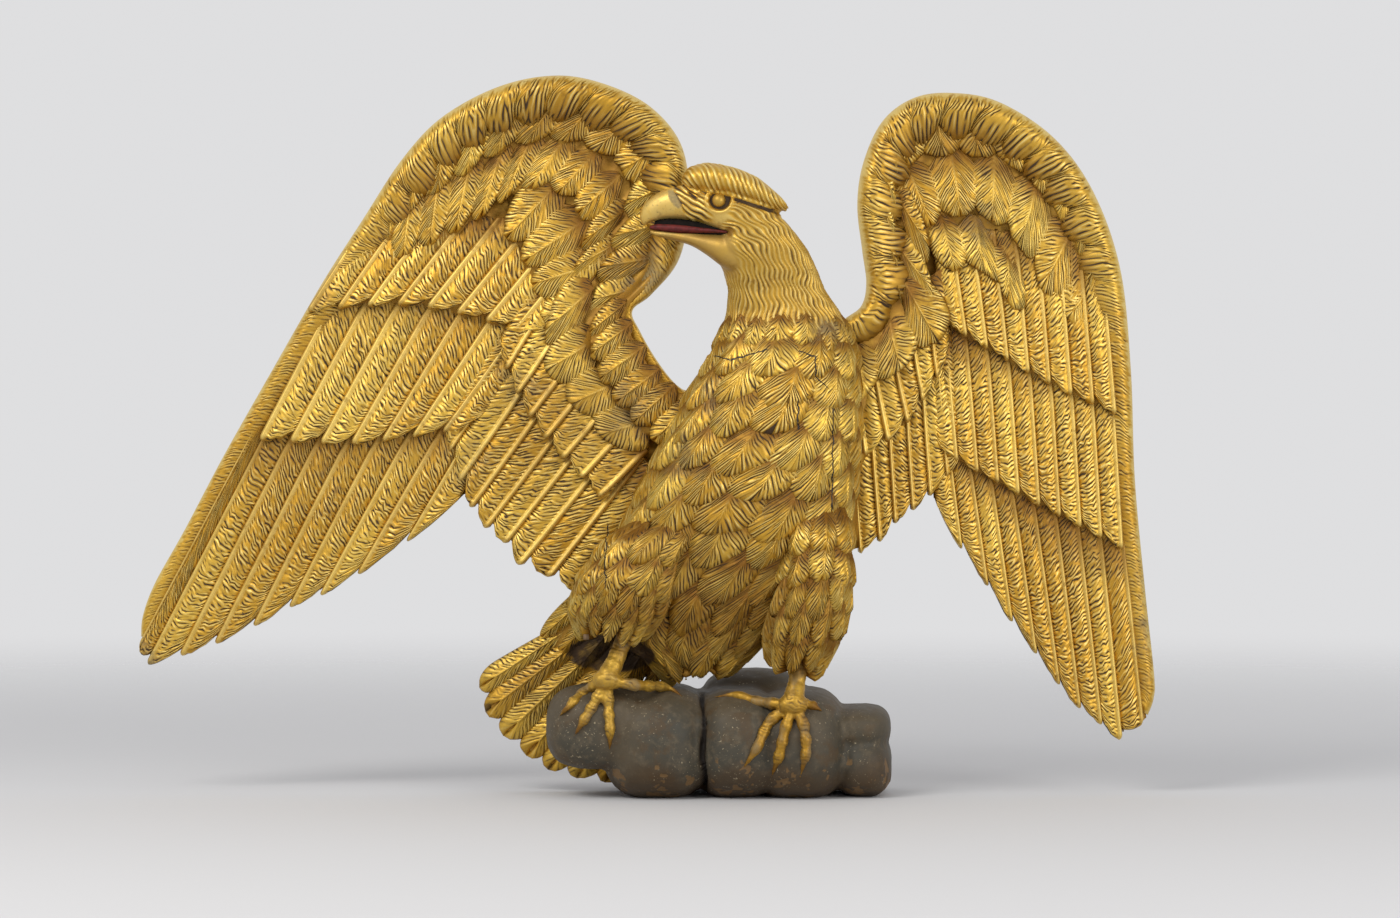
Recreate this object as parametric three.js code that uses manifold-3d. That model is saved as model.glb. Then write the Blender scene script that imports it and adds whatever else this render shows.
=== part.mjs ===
import * as THREE from 'three';
import { mergeVertices } from 'three/addons/utils/BufferGeometryUtils.js';
import Module from 'manifold-3d';

// An eagle with spread wings, carved in pine and gilded, on cast legs and a painted rock.
// Millimetres, +Z up, the breast towards -Y, the origin on the floor under the middle of the work.
// A place is [x, z] as seen from the front, and a depth is its y.

const wasm = await Module();
wasm.setup();

const V = (x, y, z) => new THREE.Vector3(x, y, z);
const FRONT = V(0, -1, 0);
const fitGap = 0.3;

// The wings lie back from the shoulders by this much for each millimetre of reach
const wingSweep = 0.05;
const bodyMiddle = 170;
const shoulderReach = 170;

// The wing boards under the feathers, from the neck over the top to the tip, then back under the quills
const boardFront = -8;
const boardBack = 22;
const boardBevel = 7;
const boardEdgePoints = 34;

// The rolled rim, whose last part thins out by taper
const rimHalfWidth = 22;
const rimHalfDepth = 36;
const rimMiddle = -16;
const rimTaper = 0.72;
const rimTaperFrom = 0.45;
const rimRings = 22;
const rimSides = 6;

const leftWing = {
  edge: [
    [89, 668], [36, 693], [-10, 733], [-38, 784], [-30, 819], [9, 834], [56, 898], [73, 990], [62, 1086],
    [14, 1151], [-58, 1191], [-146, 1210], [-246, 1193], [-345, 1141], [-414, 1069], [-481, 967],
    [-548, 863], [-632, 718], [-716, 571], [-783, 445], [-833, 356], [-855, 290],
  ],
  under: [
    [-818, 284], [-646, 347], [-499, 428], [-373, 495], [-317, 546], [-247, 462], [-137, 373], [20, 340],
  ],
  rows: [
    { kind: 'quill', count: 9, roots: [[-658, 666], [-470, 663], [-279, 638]],
      tips: [[-858, 246], [-843, 217], [-786, 231], [-727, 251], [-662, 281], [-601, 313], [-549, 333],
        [-486, 368], [-405, 423]],
      depths: [-14, -16] },
    { kind: 'quill', count: 8, roots: [[-530, 884], [-346, 877], [-170, 844]],
      tips: [[-689, 609], [-496, 598], [-342, 613]], depths: [-16, -30] },
    { kind: 'quill', count: 8, roots: [[-466, 971], [-279, 973], [-85, 944]],
      tips: [[-569, 810], [-395, 820], [-221, 780]], depths: [-18, -38] },
    { kind: 'fan', count: 8, roots: [[-195, 780], [-95, 688], [22, 529]],
      tips: [[-332, 576], [-316, 526], [-297, 482], [-272, 447], [-240, 422], [-215, 385], [-165, 365],
        [-125, 342]],
      depths: [-24, -22] },
    { kind: 'fan', count: 6, roots: [[-165, 830], [-95, 721], [-31, 613]],
      tips: [[-236, 713], [-194, 629], [-111, 532]], depths: [-30, -44] },
    { kind: 'leaf', count: 4, roots: [[-90, 850], [-70, 746], [0, 629]],
      tips: [[-169, 779], [-169, 709], [-78, 604]], depths: [-28, -48] },
    { kind: 'leaf', count: 4, roots: [[-25, 815], [20, 733], [80, 663]],
      tips: [[-102, 754], [-77, 696], [-11, 609]], depths: [-30, -56] },
    { kind: 'leaf', count: 14,
      roots: [[-461, 962], [-406, 1046], [-347, 1113], [-246, 1167], [-146, 1180], [-45, 1158], [26, 1100],
        [52, 1007], [22, 915], [-25, 848]],
      tips: [[-467, 884], [-400, 974], [-329, 1025], [-237, 1082], [-152, 1095], [-75, 1072], [-36, 1031],
        [-41, 973], [-78, 894], [-98, 830]],
      depths: [-14, -24] },
    { kind: 'leaf', count: 10,
      roots: [[-394, 1015], [-333, 1057], [-260, 1082], [-179, 1116], [-95, 1091], [-31, 1015], [-42, 931]],
      tips: [[-409, 904], [-345, 930], [-275, 970], [-207, 1014], [-141, 1004], [-106, 944], [-125, 883]],
      depths: [-10, -34] },
    { kind: 'leaf', count: 4, roots: [[-145, 1031], [-92, 973], [-78, 894], [-78, 830]],
      tips: [[-235, 933], [-208, 893], [-195, 855], [-178, 800]], depths: [-16, -44] },
  ],
};

const rightWing = {
  edge: [
    [300, 770], [330, 800], [364, 821], [376, 858], [363, 915], [351, 990], [361, 1061], [393, 1131],
    [445, 1171], [510, 1181], [592, 1166], [685, 1106], [753, 1014], [799, 883], [817, 713], [824, 529],
    [842, 339], [858, 200],
  ],
  under: [[828, 175], [697, 226], [568, 394], [509, 512], [434, 495], [361, 436], [257, 462]],
  rows: [
    { kind: 'quill', count: 9, roots: [[810, 454], [662, 512], [505, 596]],
      tips: [[849, 118], [807, 91], [774, 116], [733, 143], [696, 183], [654, 235], [613, 289], [572, 349],
        [529, 411]],
      depths: [-14, -16] },
    { kind: 'quill', count: 9, roots: [[796, 721], [642, 763], [499, 797]],
      tips: [[810, 412], [668, 482], [520, 559]], depths: [-16, -30] },
    { kind: 'quill', count: 8, roots: [[779, 906], [658, 939], [508, 956]],
      tips: [[801, 638], [681, 689], [535, 768]], depths: [-18, -38] },
    { kind: 'fan', count: 6, roots: [[484, 763], [424, 713], [340, 663]],
      tips: [[504, 532], [476, 501], [447, 477], [417, 455], [391, 424], [359, 405]], depths: [-24, -22] },
    { kind: 'fan', count: 5, roots: [[466, 855], [407, 780], [350, 688]],
      tips: [[486, 699], [431, 616], [366, 569]], depths: [-30, -44] },
    { kind: 'leaf', count: 3, roots: [[432, 858], [407, 793], [353, 755]],
      tips: [[486, 759], [423, 711], [363, 666]], depths: [-34, -58] },
    { kind: 'leaf', count: 5, roots: [[378, 1099], [361, 1032], [358, 965], [368, 894], [391, 831]],
      tips: [[420, 1051], [417, 994], [417, 944], [424, 847], [437, 788]], depths: [-26, -38] },
    { kind: 'leaf', count: 2, roots: [[421, 1001], [421, 922]], tips: [[473, 916], [480, 840]],
      depths: [-22, -46] },
    { kind: 'leaf', count: 9,
      roots: [[424, 1140], [467, 1163], [534, 1163], [601, 1147], [668, 1108], [727, 1041], [767, 962],
        [791, 881]],
      tips: [[438, 1055], [491, 1070], [545, 1070], [605, 1058], [654, 1020], [692, 968], [722, 914],
        [756, 800]],
      depths: [-14, -24] },
    { kind: 'leaf', count: 6,
      roots: [[433, 1066], [509, 1091], [584, 1082], [659, 1040], [718, 957], [747, 856]],
      tips: [[477, 954], [526, 970], [578, 959], [624, 917], [661, 848], [705, 800]], depths: [-10, -34] },
    { kind: 'leaf', count: 3, roots: [[491, 978], [550, 973], [605, 922]],
      tips: [[517, 878], [565, 875], [607, 823]], depths: [-16, -44] },
  ],
};

// How each kind of feather is cut, from one side to the other: how many feathers' widths from its shaft,
// how high on its ridge, and how many widths its outline falls short of the tip there
const vane = {
  quill: [[-0.12, 0.1, 0.5], [0.04, 1, 0], [0.6, 0.5, 0.16]],
  fan: [[-0.6, 0.5, 0.16], [-0.04, 1, 0], [0.12, 0.1, 0.5]],
  leaf: [[-0.5, 0, 0.6], [-0.18, 0.85, 0.05], [0.18, 1, 0.05]],
  lance: [[-0.5, 0, 0.5], [0, 1, 0]],
};
const featherForms = {
  quill: { vane: vane.quill, ridge: 11 },
  fan: { vane: vane.fan, ridge: 10 },
  leaf: { vane: vane.leaf, ridge: 13 },
  tail: { vane: vane.leaf, ridge: 10 },
  breast: { vane: vane.lance, ridge: 16 },
  shaggy: { vane: vane.lance, ridge: 14 },
  hackle: { vane: vane.lance, ridge: 8 },
};
const rootHeight = 0.4;
const courseRows = [0, 0.75, 1];
const quillBack = 6;
const clothDepth = 26;
const clothLift = 6;
const clothStagger = 0.25;

// How square the level sections are, from 1 for an ellipse towards 0
const sectionRoundness = 0.85;
const sectionCap = 8;

// Level sections of the neck and body, from the throat down: [z, left, right, front, back]
const bodySections = [
  [985, 150, 205, -145, -80],
  [941, 129, 242, -155, -52],
  [911, 109, 265, -150, -35],
  [878, 129, 282, -138, -18],
  [845, 139, 295, -128, 2],
  [810, 136, 320, -126, 24],
  [771, 126, 340, -134, 44],
  [730, 109, 350, -146, 62],
  [663, 69, 353, -160, 80],
  [579, 26, 352, -167, 90],
  [496, -14, 343, -162, 88],
  [412, -54, 330, -148, 80],
  [328, -58, 256, -126, 66],
  [262, -36, 196, -92, 46],
  [212, 22, 140, -64, 20],
];
const leftThighSections = [
  [480, 0, 110, -130, -20],
  [420, -70, 80, -164, 0],
  [365, -108, 52, -172, 12],
  [312, -124, 34, -160, 14],
  [282, -112, 6, -142, 4],
];
const rightThighSections = [
  [478, 236, 340, -140, 0],
  [430, 226, 346, -168, 10],
  [375, 224, 349, -174, 6],
  [315, 208, 345, -168, -4],
  [262, 206, 330, -156, -20],
  [238, 222, 304, -140, -40],
];

// Feathered rows on the round forms: the height of the row's tips, the feathers' length and their number
const breastRows = [
  { tips: 700, length: 95, count: 5 },
  { tips: 646, length: 105, count: 6 },
  { tips: 592, length: 105, count: 7 },
  { tips: 538, length: 105, count: 7 },
  { tips: 484, length: 105, count: 7 },
  { tips: 430, length: 105, count: 7 },
  { tips: 378, length: 100, count: 7 },
  { tips: 326, length: 95, count: 6 },
  { tips: 276, length: 95, count: 6 },
  { tips: 228, length: 85, count: 5 },
  { tips: 192, length: 80, count: 3 },
];
const neckRows = [
  { tips: 812, length: 85, count: 6 },
  { tips: 756, length: 90, count: 7 },
];
const leftThighRows = [
  { tips: 388, length: 85, count: 5 },
  { tips: 328, length: 85, count: 5 },
  { tips: 272, length: 85, count: 6 },
];
const rightThighRows = [
  { tips: 405, length: 90, count: 5 },
  { tips: 350, length: 85, count: 6 },
  { tips: 295, length: 85, count: 6 },
  { tips: 246, length: 80, count: 6 },
];

const tail = {
  depth: 62,
  thickness: 16,
  coverRise: [34, 16],
  coverThickness: [40, 24],
  web: [[40, 20, 400, 90, 34], [-40, 45, 300, 92, 26], [-130, 68, 190, 110, 14], [-165, 68, 150, 96, 10]],
  roots: [[-30, 345], [0, 300], [45, 270]],
  tips: [[-286, 176], [-276, 134], [-245, 94], [-206, 60], [-169, 36], [-120, 22], [-72, 14]],
  coverRoots: [[-50, 380], [30, 300]],
  coverTips: [[-180, 262], [-60, 150]],
};

// Stations along X of the head's parts: [x, z, half height, half depth]
const headDepth = -105;
const skull = [
  [228, 975, 10, 14], [200, 985, 36, 38], [160, 988, 50, 48], [118, 988, 50, 46], [80, 990, 34, 34],
];
const crest = [
  [66, 1027, 10, 22], [90, 1029, 23, 42], [125, 1027, 26, 53], [172, 1015, 22, 55], [208, 1000, 15, 46],
  [232, 990, 5, 24],
];
const beak = [[115, 985, 30, 34], [60, 987, 27, 27], [24, 984, 25, 20], [4, 976, 20, 14], [-8, 973, 11, 8]];
const beakHook = [[-2, 974, 10], [0, 962, 8], [4, 953, 3]];
const jaw = [[150, 928, 24, 36], [100, 931, 13, 26], [60, 936, 10, 18], [24, 944, 7, 11], [10, 947, 3, 6]];
const mouthCut = [[-12, 955, 3, 60], [30, 953, 7, 60], [80, 953, 7, 60], [138, 944, 2, 60]];
const tongue = [[16, 951, 6, 6], [60, 950, 11, 11], [130, 944, 12, 22]];
const hookFlatness = 0.8;
const eye = { place: [121, 990], radius: 14, depth: 38, socketRadius: 20, socketDepth: 52 };

// Lobes of the rock: [x, z, y, half width, half height, half depth]
const rockLobes = [
  [120, 92, 30, 208, 84, 150],
  [-78, 118, -24, 92, 73, 108],
  [18, 90, 30, 94, 99, 176],
  [152, 88, 34, 80, 97, 176],
  [252, 86, 36, 88, 96, 178],
  [182, 120, 92, 100, 90, 108],
  [356, 114, 24, 57, 38, 120],
  [362, 52, 28, 52, 56, 130],
];
const rockBack = 190;
const lobeSquareness = 2.5;
const lobeSides = 10;
const lobeRings = 6;

// Each leg: the shank from the thigh to the foot, and the toes' ends as seen from the front
const legs = {
  leg_left: {
    shank: [[-20, -82, 318], [-30, -92, 284], [-47, -108, 239], [-64, -124, 204]],
    toes: [[[-96, 182], [-128, 155], [-145, 137]], [[-86, 160], [-108, 124], [-119, 106]],
      [[-62, 160], [-59, 118], [-60, 81]], [[-14, 191], [34, 184], [62, 168]]],
  },
  leg_right: {
    shank: [[262, -98, 292], [256, -104, 245], [250, -116, 200], [243, -132, 164]],
    toes: [[[204, 130], [183, 88], [158, 51]], [[230, 120], [220, 78], [207, 38]],
      [[259, 128], [264, 84], [254, 38]], [[186, 162], [146, 172], [112, 168]],
      [[268, 158], [284, 152], [292, 146]]],
  },
};
const shankRadius = 14;
const hubRadius = 20;
const hubFlatness = 0.75;
const hubEnd = 0.6;
const toeRadius = 10.5;
const toeSunk = [0.5, 0.6, 0.15];
const toeStations = [[0, 1.1], [0.3, 0.9], [0.6, 1.12], [0.8, 0.72], [1, 0.29]];

// A sphere's net of rings with each point moved to place(row, column); the first and last rows are points
function wrapped(sides, rows, place) {
  const net = new THREE.SphereGeometry(1, sides, rows);
  const points = net.attributes.position;
  for (let i = 0; i < points.count; i += 1) {
    const row = Math.floor(i / (sides + 1));
    const column = (i % (sides + 1)) % sides;
    points.setXYZ(i, ...place(row, row === 0 || row === rows ? 0 : column).toArray());
  }
  return net;
}

// A closed solid from a closed mesh, turned right way out
function solid(geometry) {
  geometry.deleteAttribute('normal');
  geometry.deleteAttribute('uv');
  const mesh = mergeVertices(geometry, 1e-3);
  const points = mesh.attributes.position;
  const corners = Array.from(mesh.index.array);
  let volume = 0;
  const [a, b, c] = [V(), V(), V()];
  for (let i = 0; i < corners.length; i += 3) {
    a.fromBufferAttribute(points, corners[i]);
    b.fromBufferAttribute(points, corners[i + 1]);
    c.fromBufferAttribute(points, corners[i + 2]);
    volume += a.dot(b.cross(c));
  }
  for (let i = 0; volume < 0 && i < corners.length; i += 3) {
    [corners[i], corners[i + 1]] = [corners[i + 1], corners[i]];
  }
  return new wasm.Manifold(new wasm.Mesh({
    numProp: 3,
    vertProperties: new Float32Array(points.array),
    triVerts: new Uint32Array(corners),
  }));
}

const joined = (solids) => solids.reduce((whole, next) => whole.add(next));

function geometryOf(manifold) {
  const { vertProperties, triVerts } = manifold.getMesh();
  const geometry = new THREE.BufferGeometry();
  geometry.setAttribute('position', new THREE.Float32BufferAttribute(vertProperties, 3));
  geometry.setIndex(Array.from(triVerts));
  geometry.computeVertexNormals();
  return geometry;
}

const sweepBack = (x) => wingSweep * Math.max(0, Math.abs(x - bodyMiddle) - shoulderReach);
const onWing = ([x, z], depth) => V(x, depth + sweepBack(x), z);
const line = (places) => new THREE.SplineCurve(places.map(([x, z]) => new THREE.Vector2(x, z)));

// The place a number of feathers along a row whose line runs through the first and the last one
function placeInRow(places, count, position) {
  const last = count - 1;
  const path = line(places);
  const at = (u) => (places.length === count ? path.getPoint(u) : path.getPointAt(u)).toArray();
  const inside = Math.min(last, Math.max(0, position));
  const place = at(inside / last);
  const over = position - inside;
  if (over === 0) return place;
  const beside = at((inside - Math.sign(over)) / last);
  return place.map((value, i) => value + (value - beside[i]) * Math.abs(over));
}

// A row of feathers cut as one course: each stands on its shaft's ridge and ends in a rounded tip.
// The course reaches back by deeps, given at its root and at its tips.
function course({ vane: cuts, ridge }, count, rootAt, tipAt, facingAt, deeps) {
  const cutsAt = (i) => cuts.map(([side, height, short]) => [i + side, height, short]);
  const columns = Array.from({ length: count }, (_, i) => cutsAt(i)).flat();
  const [side, height, short] = cuts[0];
  columns.push([count + side, height, short]);
  const across = columns.length - 1;
  const down = courseRows.length - 1;
  const net = new THREE.BoxGeometry(across, 1, down, across, 1, down);
  const points = net.attributes.position;
  for (let i = 0; i < points.count; i += 1) {
    const column = Math.round(points.getX(i) + across / 2);
    const row = Math.round(points.getZ(i) + down / 2);
    const share = courseRows[row];
    const [position, lift, pulled] = columns[column];
    const [root, tip, facing] = [rootAt(position), tipAt(position), facingAt(position)];
    const width = tipAt(Math.floor(position) + 1).distanceTo(tipAt(Math.floor(position)));
    const end = tip.clone().lerp(root, Math.min(0.5, (pulled * width) / tip.distanceTo(root)));
    const place = root.clone().lerp(end, share);
    const deep = THREE.MathUtils.lerp(deeps[0], deeps[1], share);
    const raised = points.getY(i) > 0 ? -deep : lift * ridge * THREE.MathUtils.lerp(rootHeight, 1, share);
    points.setXYZ(i, ...place.addScaledVector(facing, raised).toArray());
  }
  return solid(net);
}

function wingFeathers(wing) {
  return wing.rows.map(({ kind, count, roots, tips, depths }) => course(
    featherForms[kind], count,
    (position) => onWing(placeInRow(roots, count, position), depths[0]),
    (position) => onWing(placeInRow(tips, count, position), depths[1]),
    () => FRONT, depths.map((depth) => quillBack - depth)));
}

// The flat board that carries the feathers
function wingBoard(wing) {
  const outline = new THREE.Shape();
  const upper = line(wing.edge).getSpacedPoints(boardEdgePoints);
  outline.setFromPoints([...upper, ...wing.under.map(([x, z]) => new THREE.Vector2(x, z))]);
  const board = new THREE.ExtrudeGeometry(outline, {
    depth: boardBack - boardFront - 2 * boardBevel,
    bevelThickness: boardBevel,
    bevelSize: boardBevel,
    bevelOffset: -boardBevel,
    bevelSegments: 1,
    steps: 1,
  });
  board.rotateX(Math.PI / 2);
  board.translate(0, boardBack - boardBevel, 0);
  const points = board.attributes.position;
  for (let i = 0; i < points.count; i += 1) points.setY(i, points.getY(i) + sweepBack(points.getX(i)));
  return solid(board);
}

// The leading edge, rolled forward into a rim that thins out towards the tip
function wingRim(wing) {
  const path = line(wing.edge);
  const turnIn = wing === leftWing ? 1 : -1;
  return solid(wrapped(rimSides, rimRings + 1, (row, column) => {
    const t = Math.min(1, Math.max(0, (row - 1) / (rimRings - 1)));
    const size = 1 - (rimTaper * Math.max(0, t - rimTaperFrom)) / (1 - rimTaperFrom);
    const inward = path.getTangentAt(t);
    inward.set(-inward.y, inward.x).multiplyScalar(turnIn);
    const centre = path.getPointAt(t).addScaledVector(inward, rimHalfWidth * size);
    const turn = (column / rimSides) * 2 * Math.PI;
    const pinch = row === 0 || row > rimRings ? 0 : 1;
    const place = centre.addScaledVector(inward, Math.cos(turn) * rimHalfWidth * size * pinch);
    return onWing([place.x, place.y], rimMiddle * size + Math.sin(turn) * rimHalfDepth * size * pinch);
  }));
}

// A point on a form given by level sections: around runs a full turn from the right, over the front
function onSections(sections, z, around) {
  const last = sections.length - 2;
  const lower = Math.min(last, Math.max(0, sections.findIndex((section) => section[0] <= z) - 1));
  const index = z <= sections[last + 1][0] ? last : lower;
  const [upperSection, lowerSection] = [sections[index], sections[index + 1]];
  const share = (upperSection[0] - z) / (upperSection[0] - lowerSection[0]);
  const level = upperSection.map((value, i) => value + (lowerSection[i] - value) * share);
  const [, left, right, front, back] = level;
  const swell = (value) => Math.sign(value) * Math.abs(value) ** sectionRoundness;
  const x = (left + right) / 2 + ((right - left) / 2) * swell(Math.cos(around));
  const y = (front + back) / 2 - ((back - front) / 2) * swell(Math.sin(around));
  return V(x, y, z);
}

function sectioned(sections, sides) {
  const middle = ([z, left, right, front, back], lift) => V(
    (left + right) / 2, (front + back) / 2, z + lift);
  return solid(wrapped(sides, sections.length + 1, (row, column) => {
    if (row === 0) return middle(sections[0], sectionCap);
    if (row > sections.length) return middle(sections[sections.length - 1], -sectionCap);
    return onSections(sections, sections[row - 1][0], (column / sides) * 2 * Math.PI);
  }));
}

// Rows of feathers on a form given by level sections, lying down its front and round its sides
function clothed(sections, rows, form, from, to) {
  return rows.map(({ tips, length, count }, rowIndex) => {
    const stagger = rowIndex % 2 ? clothStagger : -clothStagger;
    const around = (position) => THREE.MathUtils.lerp(from, to, (position + 0.5 + stagger) / count);
    const facingAt = (position) => {
      const turn = around(position);
      const middle = tips + length / 2;
      const [left, right] = [0.05, -0.05].map((step) => onSections(sections, middle, turn + step));
      const down = onSections(sections, tips, turn).sub(onSections(sections, tips + length, turn));
      return left.sub(right).cross(down).normalize();
    };
    const onForm = (z, position, proud) => onSections(sections, z, around(position))
      .addScaledVector(facingAt(position), proud);
    return course(
      form, count, (p) => onForm(tips + length, p, -clothLift), (p) => onForm(tips, p, clothLift),
      facingAt, [clothDepth, clothDepth]);
  });
}

// A round limb through stations of [centre, half width across, half width along `across` turned a quarter]
function limb(stations, across, sides) {
  const centres = stations.map(([centre]) => centre);
  return solid(wrapped(sides, stations.length + 1, (row, column) => {
    const index = Math.min(stations.length - 1, Math.max(0, row - 1));
    const [centre, wide, high] = stations[index];
    if (row === 0 || row > stations.length) return centre.clone();
    const before = centres[Math.max(0, index - 1)];
    const after = centres[Math.min(centres.length - 1, index + 1)];
    const along = after.clone().sub(before).normalize();
    const side = across.clone().addScaledVector(along, -across.dot(along)).normalize();
    const up = side.clone().cross(along);
    const turn = ((column + 0.5) / sides) * 2 * Math.PI;
    return centre.clone()
      .addScaledVector(side, Math.cos(turn) * wide)
      .addScaledVector(up, Math.sin(turn) * high);
  }));
}

const headLimb = (stations, sides) => limb(
  stations.map(([x, z, high, deep]) => [V(x, headDepth, z), deep, high]), V(0, 1, 0), sides);

function ball(centre, radius) {
  const sphere = new THREE.SphereGeometry(radius, 8, 6);
  sphere.translate(...centre.toArray());
  return solid(sphere);
}

function head() {
  const hook = limb(beakHook.map(([x, z, r]) => [V(x, headDepth, z), r * hookFlatness, r]), V(0, 1, 0), 6);
  const [x, z] = eye.place;
  const sockets = [-1, 1].map((side) => V(x, headDepth + side * eye.socketDepth, z));
  const eyes = [-1, 1].map((side) => V(x, headDepth + side * eye.depth, z));
  const face = joined([headLimb(skull, 10), headLimb(beak, 8), headLimb(jaw, 8), hook]);
  const opened = face.subtract(headLimb(mouthCut, 4));
  const hollowed = sockets.reduce((rest, place) => rest.subtract(ball(place, eye.socketRadius)), opened);
  const eyeballs = eyes.map((place) => ball(place, eye.radius));
  return joined([hollowed, headLimb(tongue, 6), headLimb(crest, 10), ...eyeballs]);
}

function tailFan() {
  const web = limb(tail.web.map(([x, y, z, wide, deep]) => [V(x, y, z), wide, deep]), V(0.7, 0, -0.7), 6);
  const at = (places, count, position, depth) => {
    const [x, z] = placeInRow(places, count, position);
    return V(x, depth, z);
  };
  const row = (form, count, roots, tips, rise, deeps) => course(
    form, count, (p) => at(roots, count, p, tail.depth - rise[0]),
    (p) => at(tips, count, p, tail.depth - rise[1]), () => FRONT, deeps);
  const { roots, tips, coverRoots, coverTips, thickness } = tail;
  const long = row(featherForms.tail, tips.length, roots, tips, [14, 0], [thickness, thickness]);
  const short = row(featherForms.leaf, 5, coverRoots, coverTips, tail.coverRise, tail.coverThickness);
  return [web, long, short];
}

// A squarish boulder, or the same grown by a clearance
function lobe([x, z, y, wide, high, deep], grow = 0) {
  const squared = (value) => Math.sign(value) * Math.abs(value) ** (2 / lobeSquareness);
  return solid(wrapped(lobeSides, lobeRings, (row, column) => {
    const down = (row / lobeRings) * Math.PI;
    const turn = (column / lobeSides) * 2 * Math.PI;
    return V(
      x + (wide + grow) * squared(Math.sin(down) * Math.cos(turn)),
      y + (deep + grow) * squared(Math.sin(down) * Math.sin(turn)),
      z + (high + grow) * squared(Math.cos(down)));
  }));
}

// What is sawn off the rock: all below the floor, and all behind its flat back
const sawn = [[0, 0, -200], [0, rockBack + 200, 0]].map(([x, y, z]) => {
  const block = new THREE.BoxGeometry(2000, y ? 400 : 2000, z ? 400 : 2000);
  block.translate(x, y, z);
  return solid(block);
});
const rock = (grow) => joined(rockLobes.map((form) => lobe(form, grow)));

// The depth of the rock's front face behind a place
function rockFace([x, z]) {
  const faces = rockLobes.map(([cx, cz, cy, wide, high, deep]) => {
    const [across, up] = [(x - cx) / wide, (z - cz) / high];
    const room = 1 - Math.abs(across) ** lobeSquareness - Math.abs(up) ** lobeSquareness;
    return room > 0 ? cy - deep * room ** (1 / lobeSquareness) : Infinity;
  });
  return Math.min(...faces);
}

function leg({ shank, toes }) {
  const foot = V(...shank[shank.length - 1]);
  const shaft = limb(shank.map((place, i) => [
    V(...place), shankRadius * (i === shank.length - 1 ? 1.25 : 1), shankRadius]), V(1, 0, 0), 8);
  const hub = limb([-1, 0, 1].map((side) => {
    const radius = hubRadius * (side ? hubEnd : 1);
    const middle = foot.clone().add(V(side * hubRadius, side ? 4 : 0, side ? -6 : -4));
    return [middle, radius, radius * hubFlatness];
  }), V(0, 0, 1), 8);
  const fingers = toes.map((places) => {
    const path = new THREE.CatmullRomCurve3([
      foot.clone().add(V(0, 2, -4)),
      ...places.map((place, i) => {
        const face = rockFace(place);
        const depth = Number.isFinite(face) ? face : foot.y;
        return V(place[0], depth - toeRadius * toeSunk[i], place[1]);
      }),
    ]);
    const stations = toeStations.map(([t, share]) => {
      const radius = share * toeRadius;
      return [path.getPoint(t), radius, radius];
    });
    return limb(stations, V(1, 0.2, 0.3), 5);
  });
  return joined([shaft, hub, ...fingers]);
}

const rockSolid = sawn.reduce((rest, block) => rest.subtract(block), rock(0));
const rockRoom = rock(fitGap);
const legSolids = Object.fromEntries(
  Object.entries(legs).map(([name, form]) => [name, leg(form).subtract(rockRoom)]));

// Room for each shank in its thigh
const socket = ({ shank }) => limb(
  shank.map((place) => [V(...place), shankRadius + fitGap, shankRadius + fitGap]), V(1, 0, 0), 8);

// Slivers finer than this, left where the feathers meet, are smoothed away
const joinTolerance = 2.2;
const bird = joined([
  sectioned(bodySections, 12),
  sectioned(leftThighSections, 9),
  sectioned(rightThighSections, 9),
  ...clothed(bodySections, breastRows, featherForms.breast, Math.PI * 1.02, -Math.PI * 0.02),
  ...clothed(bodySections, neckRows, featherForms.hackle, Math.PI * 1.1, -Math.PI * 0.1),
  ...clothed(leftThighSections, leftThighRows, featherForms.shaggy, Math.PI * 1.1, 0),
  ...clothed(rightThighSections, rightThighRows, featherForms.shaggy, Math.PI * 1.15, -Math.PI * 0.15),
  wingBoard(leftWing),
  wingRim(leftWing),
  ...wingFeathers(leftWing),
  wingBoard(rightWing),
  wingRim(rightWing),
  ...wingFeathers(rightWing),
  ...tailFan(),
  head(),
]).asOriginal().simplify(joinTolerance);
const eagleSolid = [rockRoom, socket(legs.leg_left), socket(legs.leg_right)]
  .reduce((rest, room) => rest.subtract(room), bird);

const gilding = new THREE.MeshStandardMaterial({ color: 0xb8913a, roughness: 0.42, metalness: 0.8 });
const wornGilding = new THREE.MeshStandardMaterial({ color: 0x9c7c3e, roughness: 0.5, metalness: 0.7 });
const darkPaint = new THREE.MeshStandardMaterial({ color: 0x48443a, roughness: 0.7, metalness: 0 });

function named(name, manifold, material) {
  const mesh = new THREE.Mesh(geometryOf(manifold), material);
  mesh.name = name;
  return mesh;
}

const eagleCarving = new THREE.Group();
eagleCarving.add(
  named('eagle', eagleSolid, gilding),
  named('leg_left', legSolids.leg_left, wornGilding),
  named('leg_right', legSolids.leg_right, wornGilding),
  named('rock_base', rockSolid, darkPaint),
);

export default eagleCarving;
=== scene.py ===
import bpy
import bmesh
import math
import random
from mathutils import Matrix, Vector, noise
from mathutils.bvhtree import BVHTree


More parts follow.
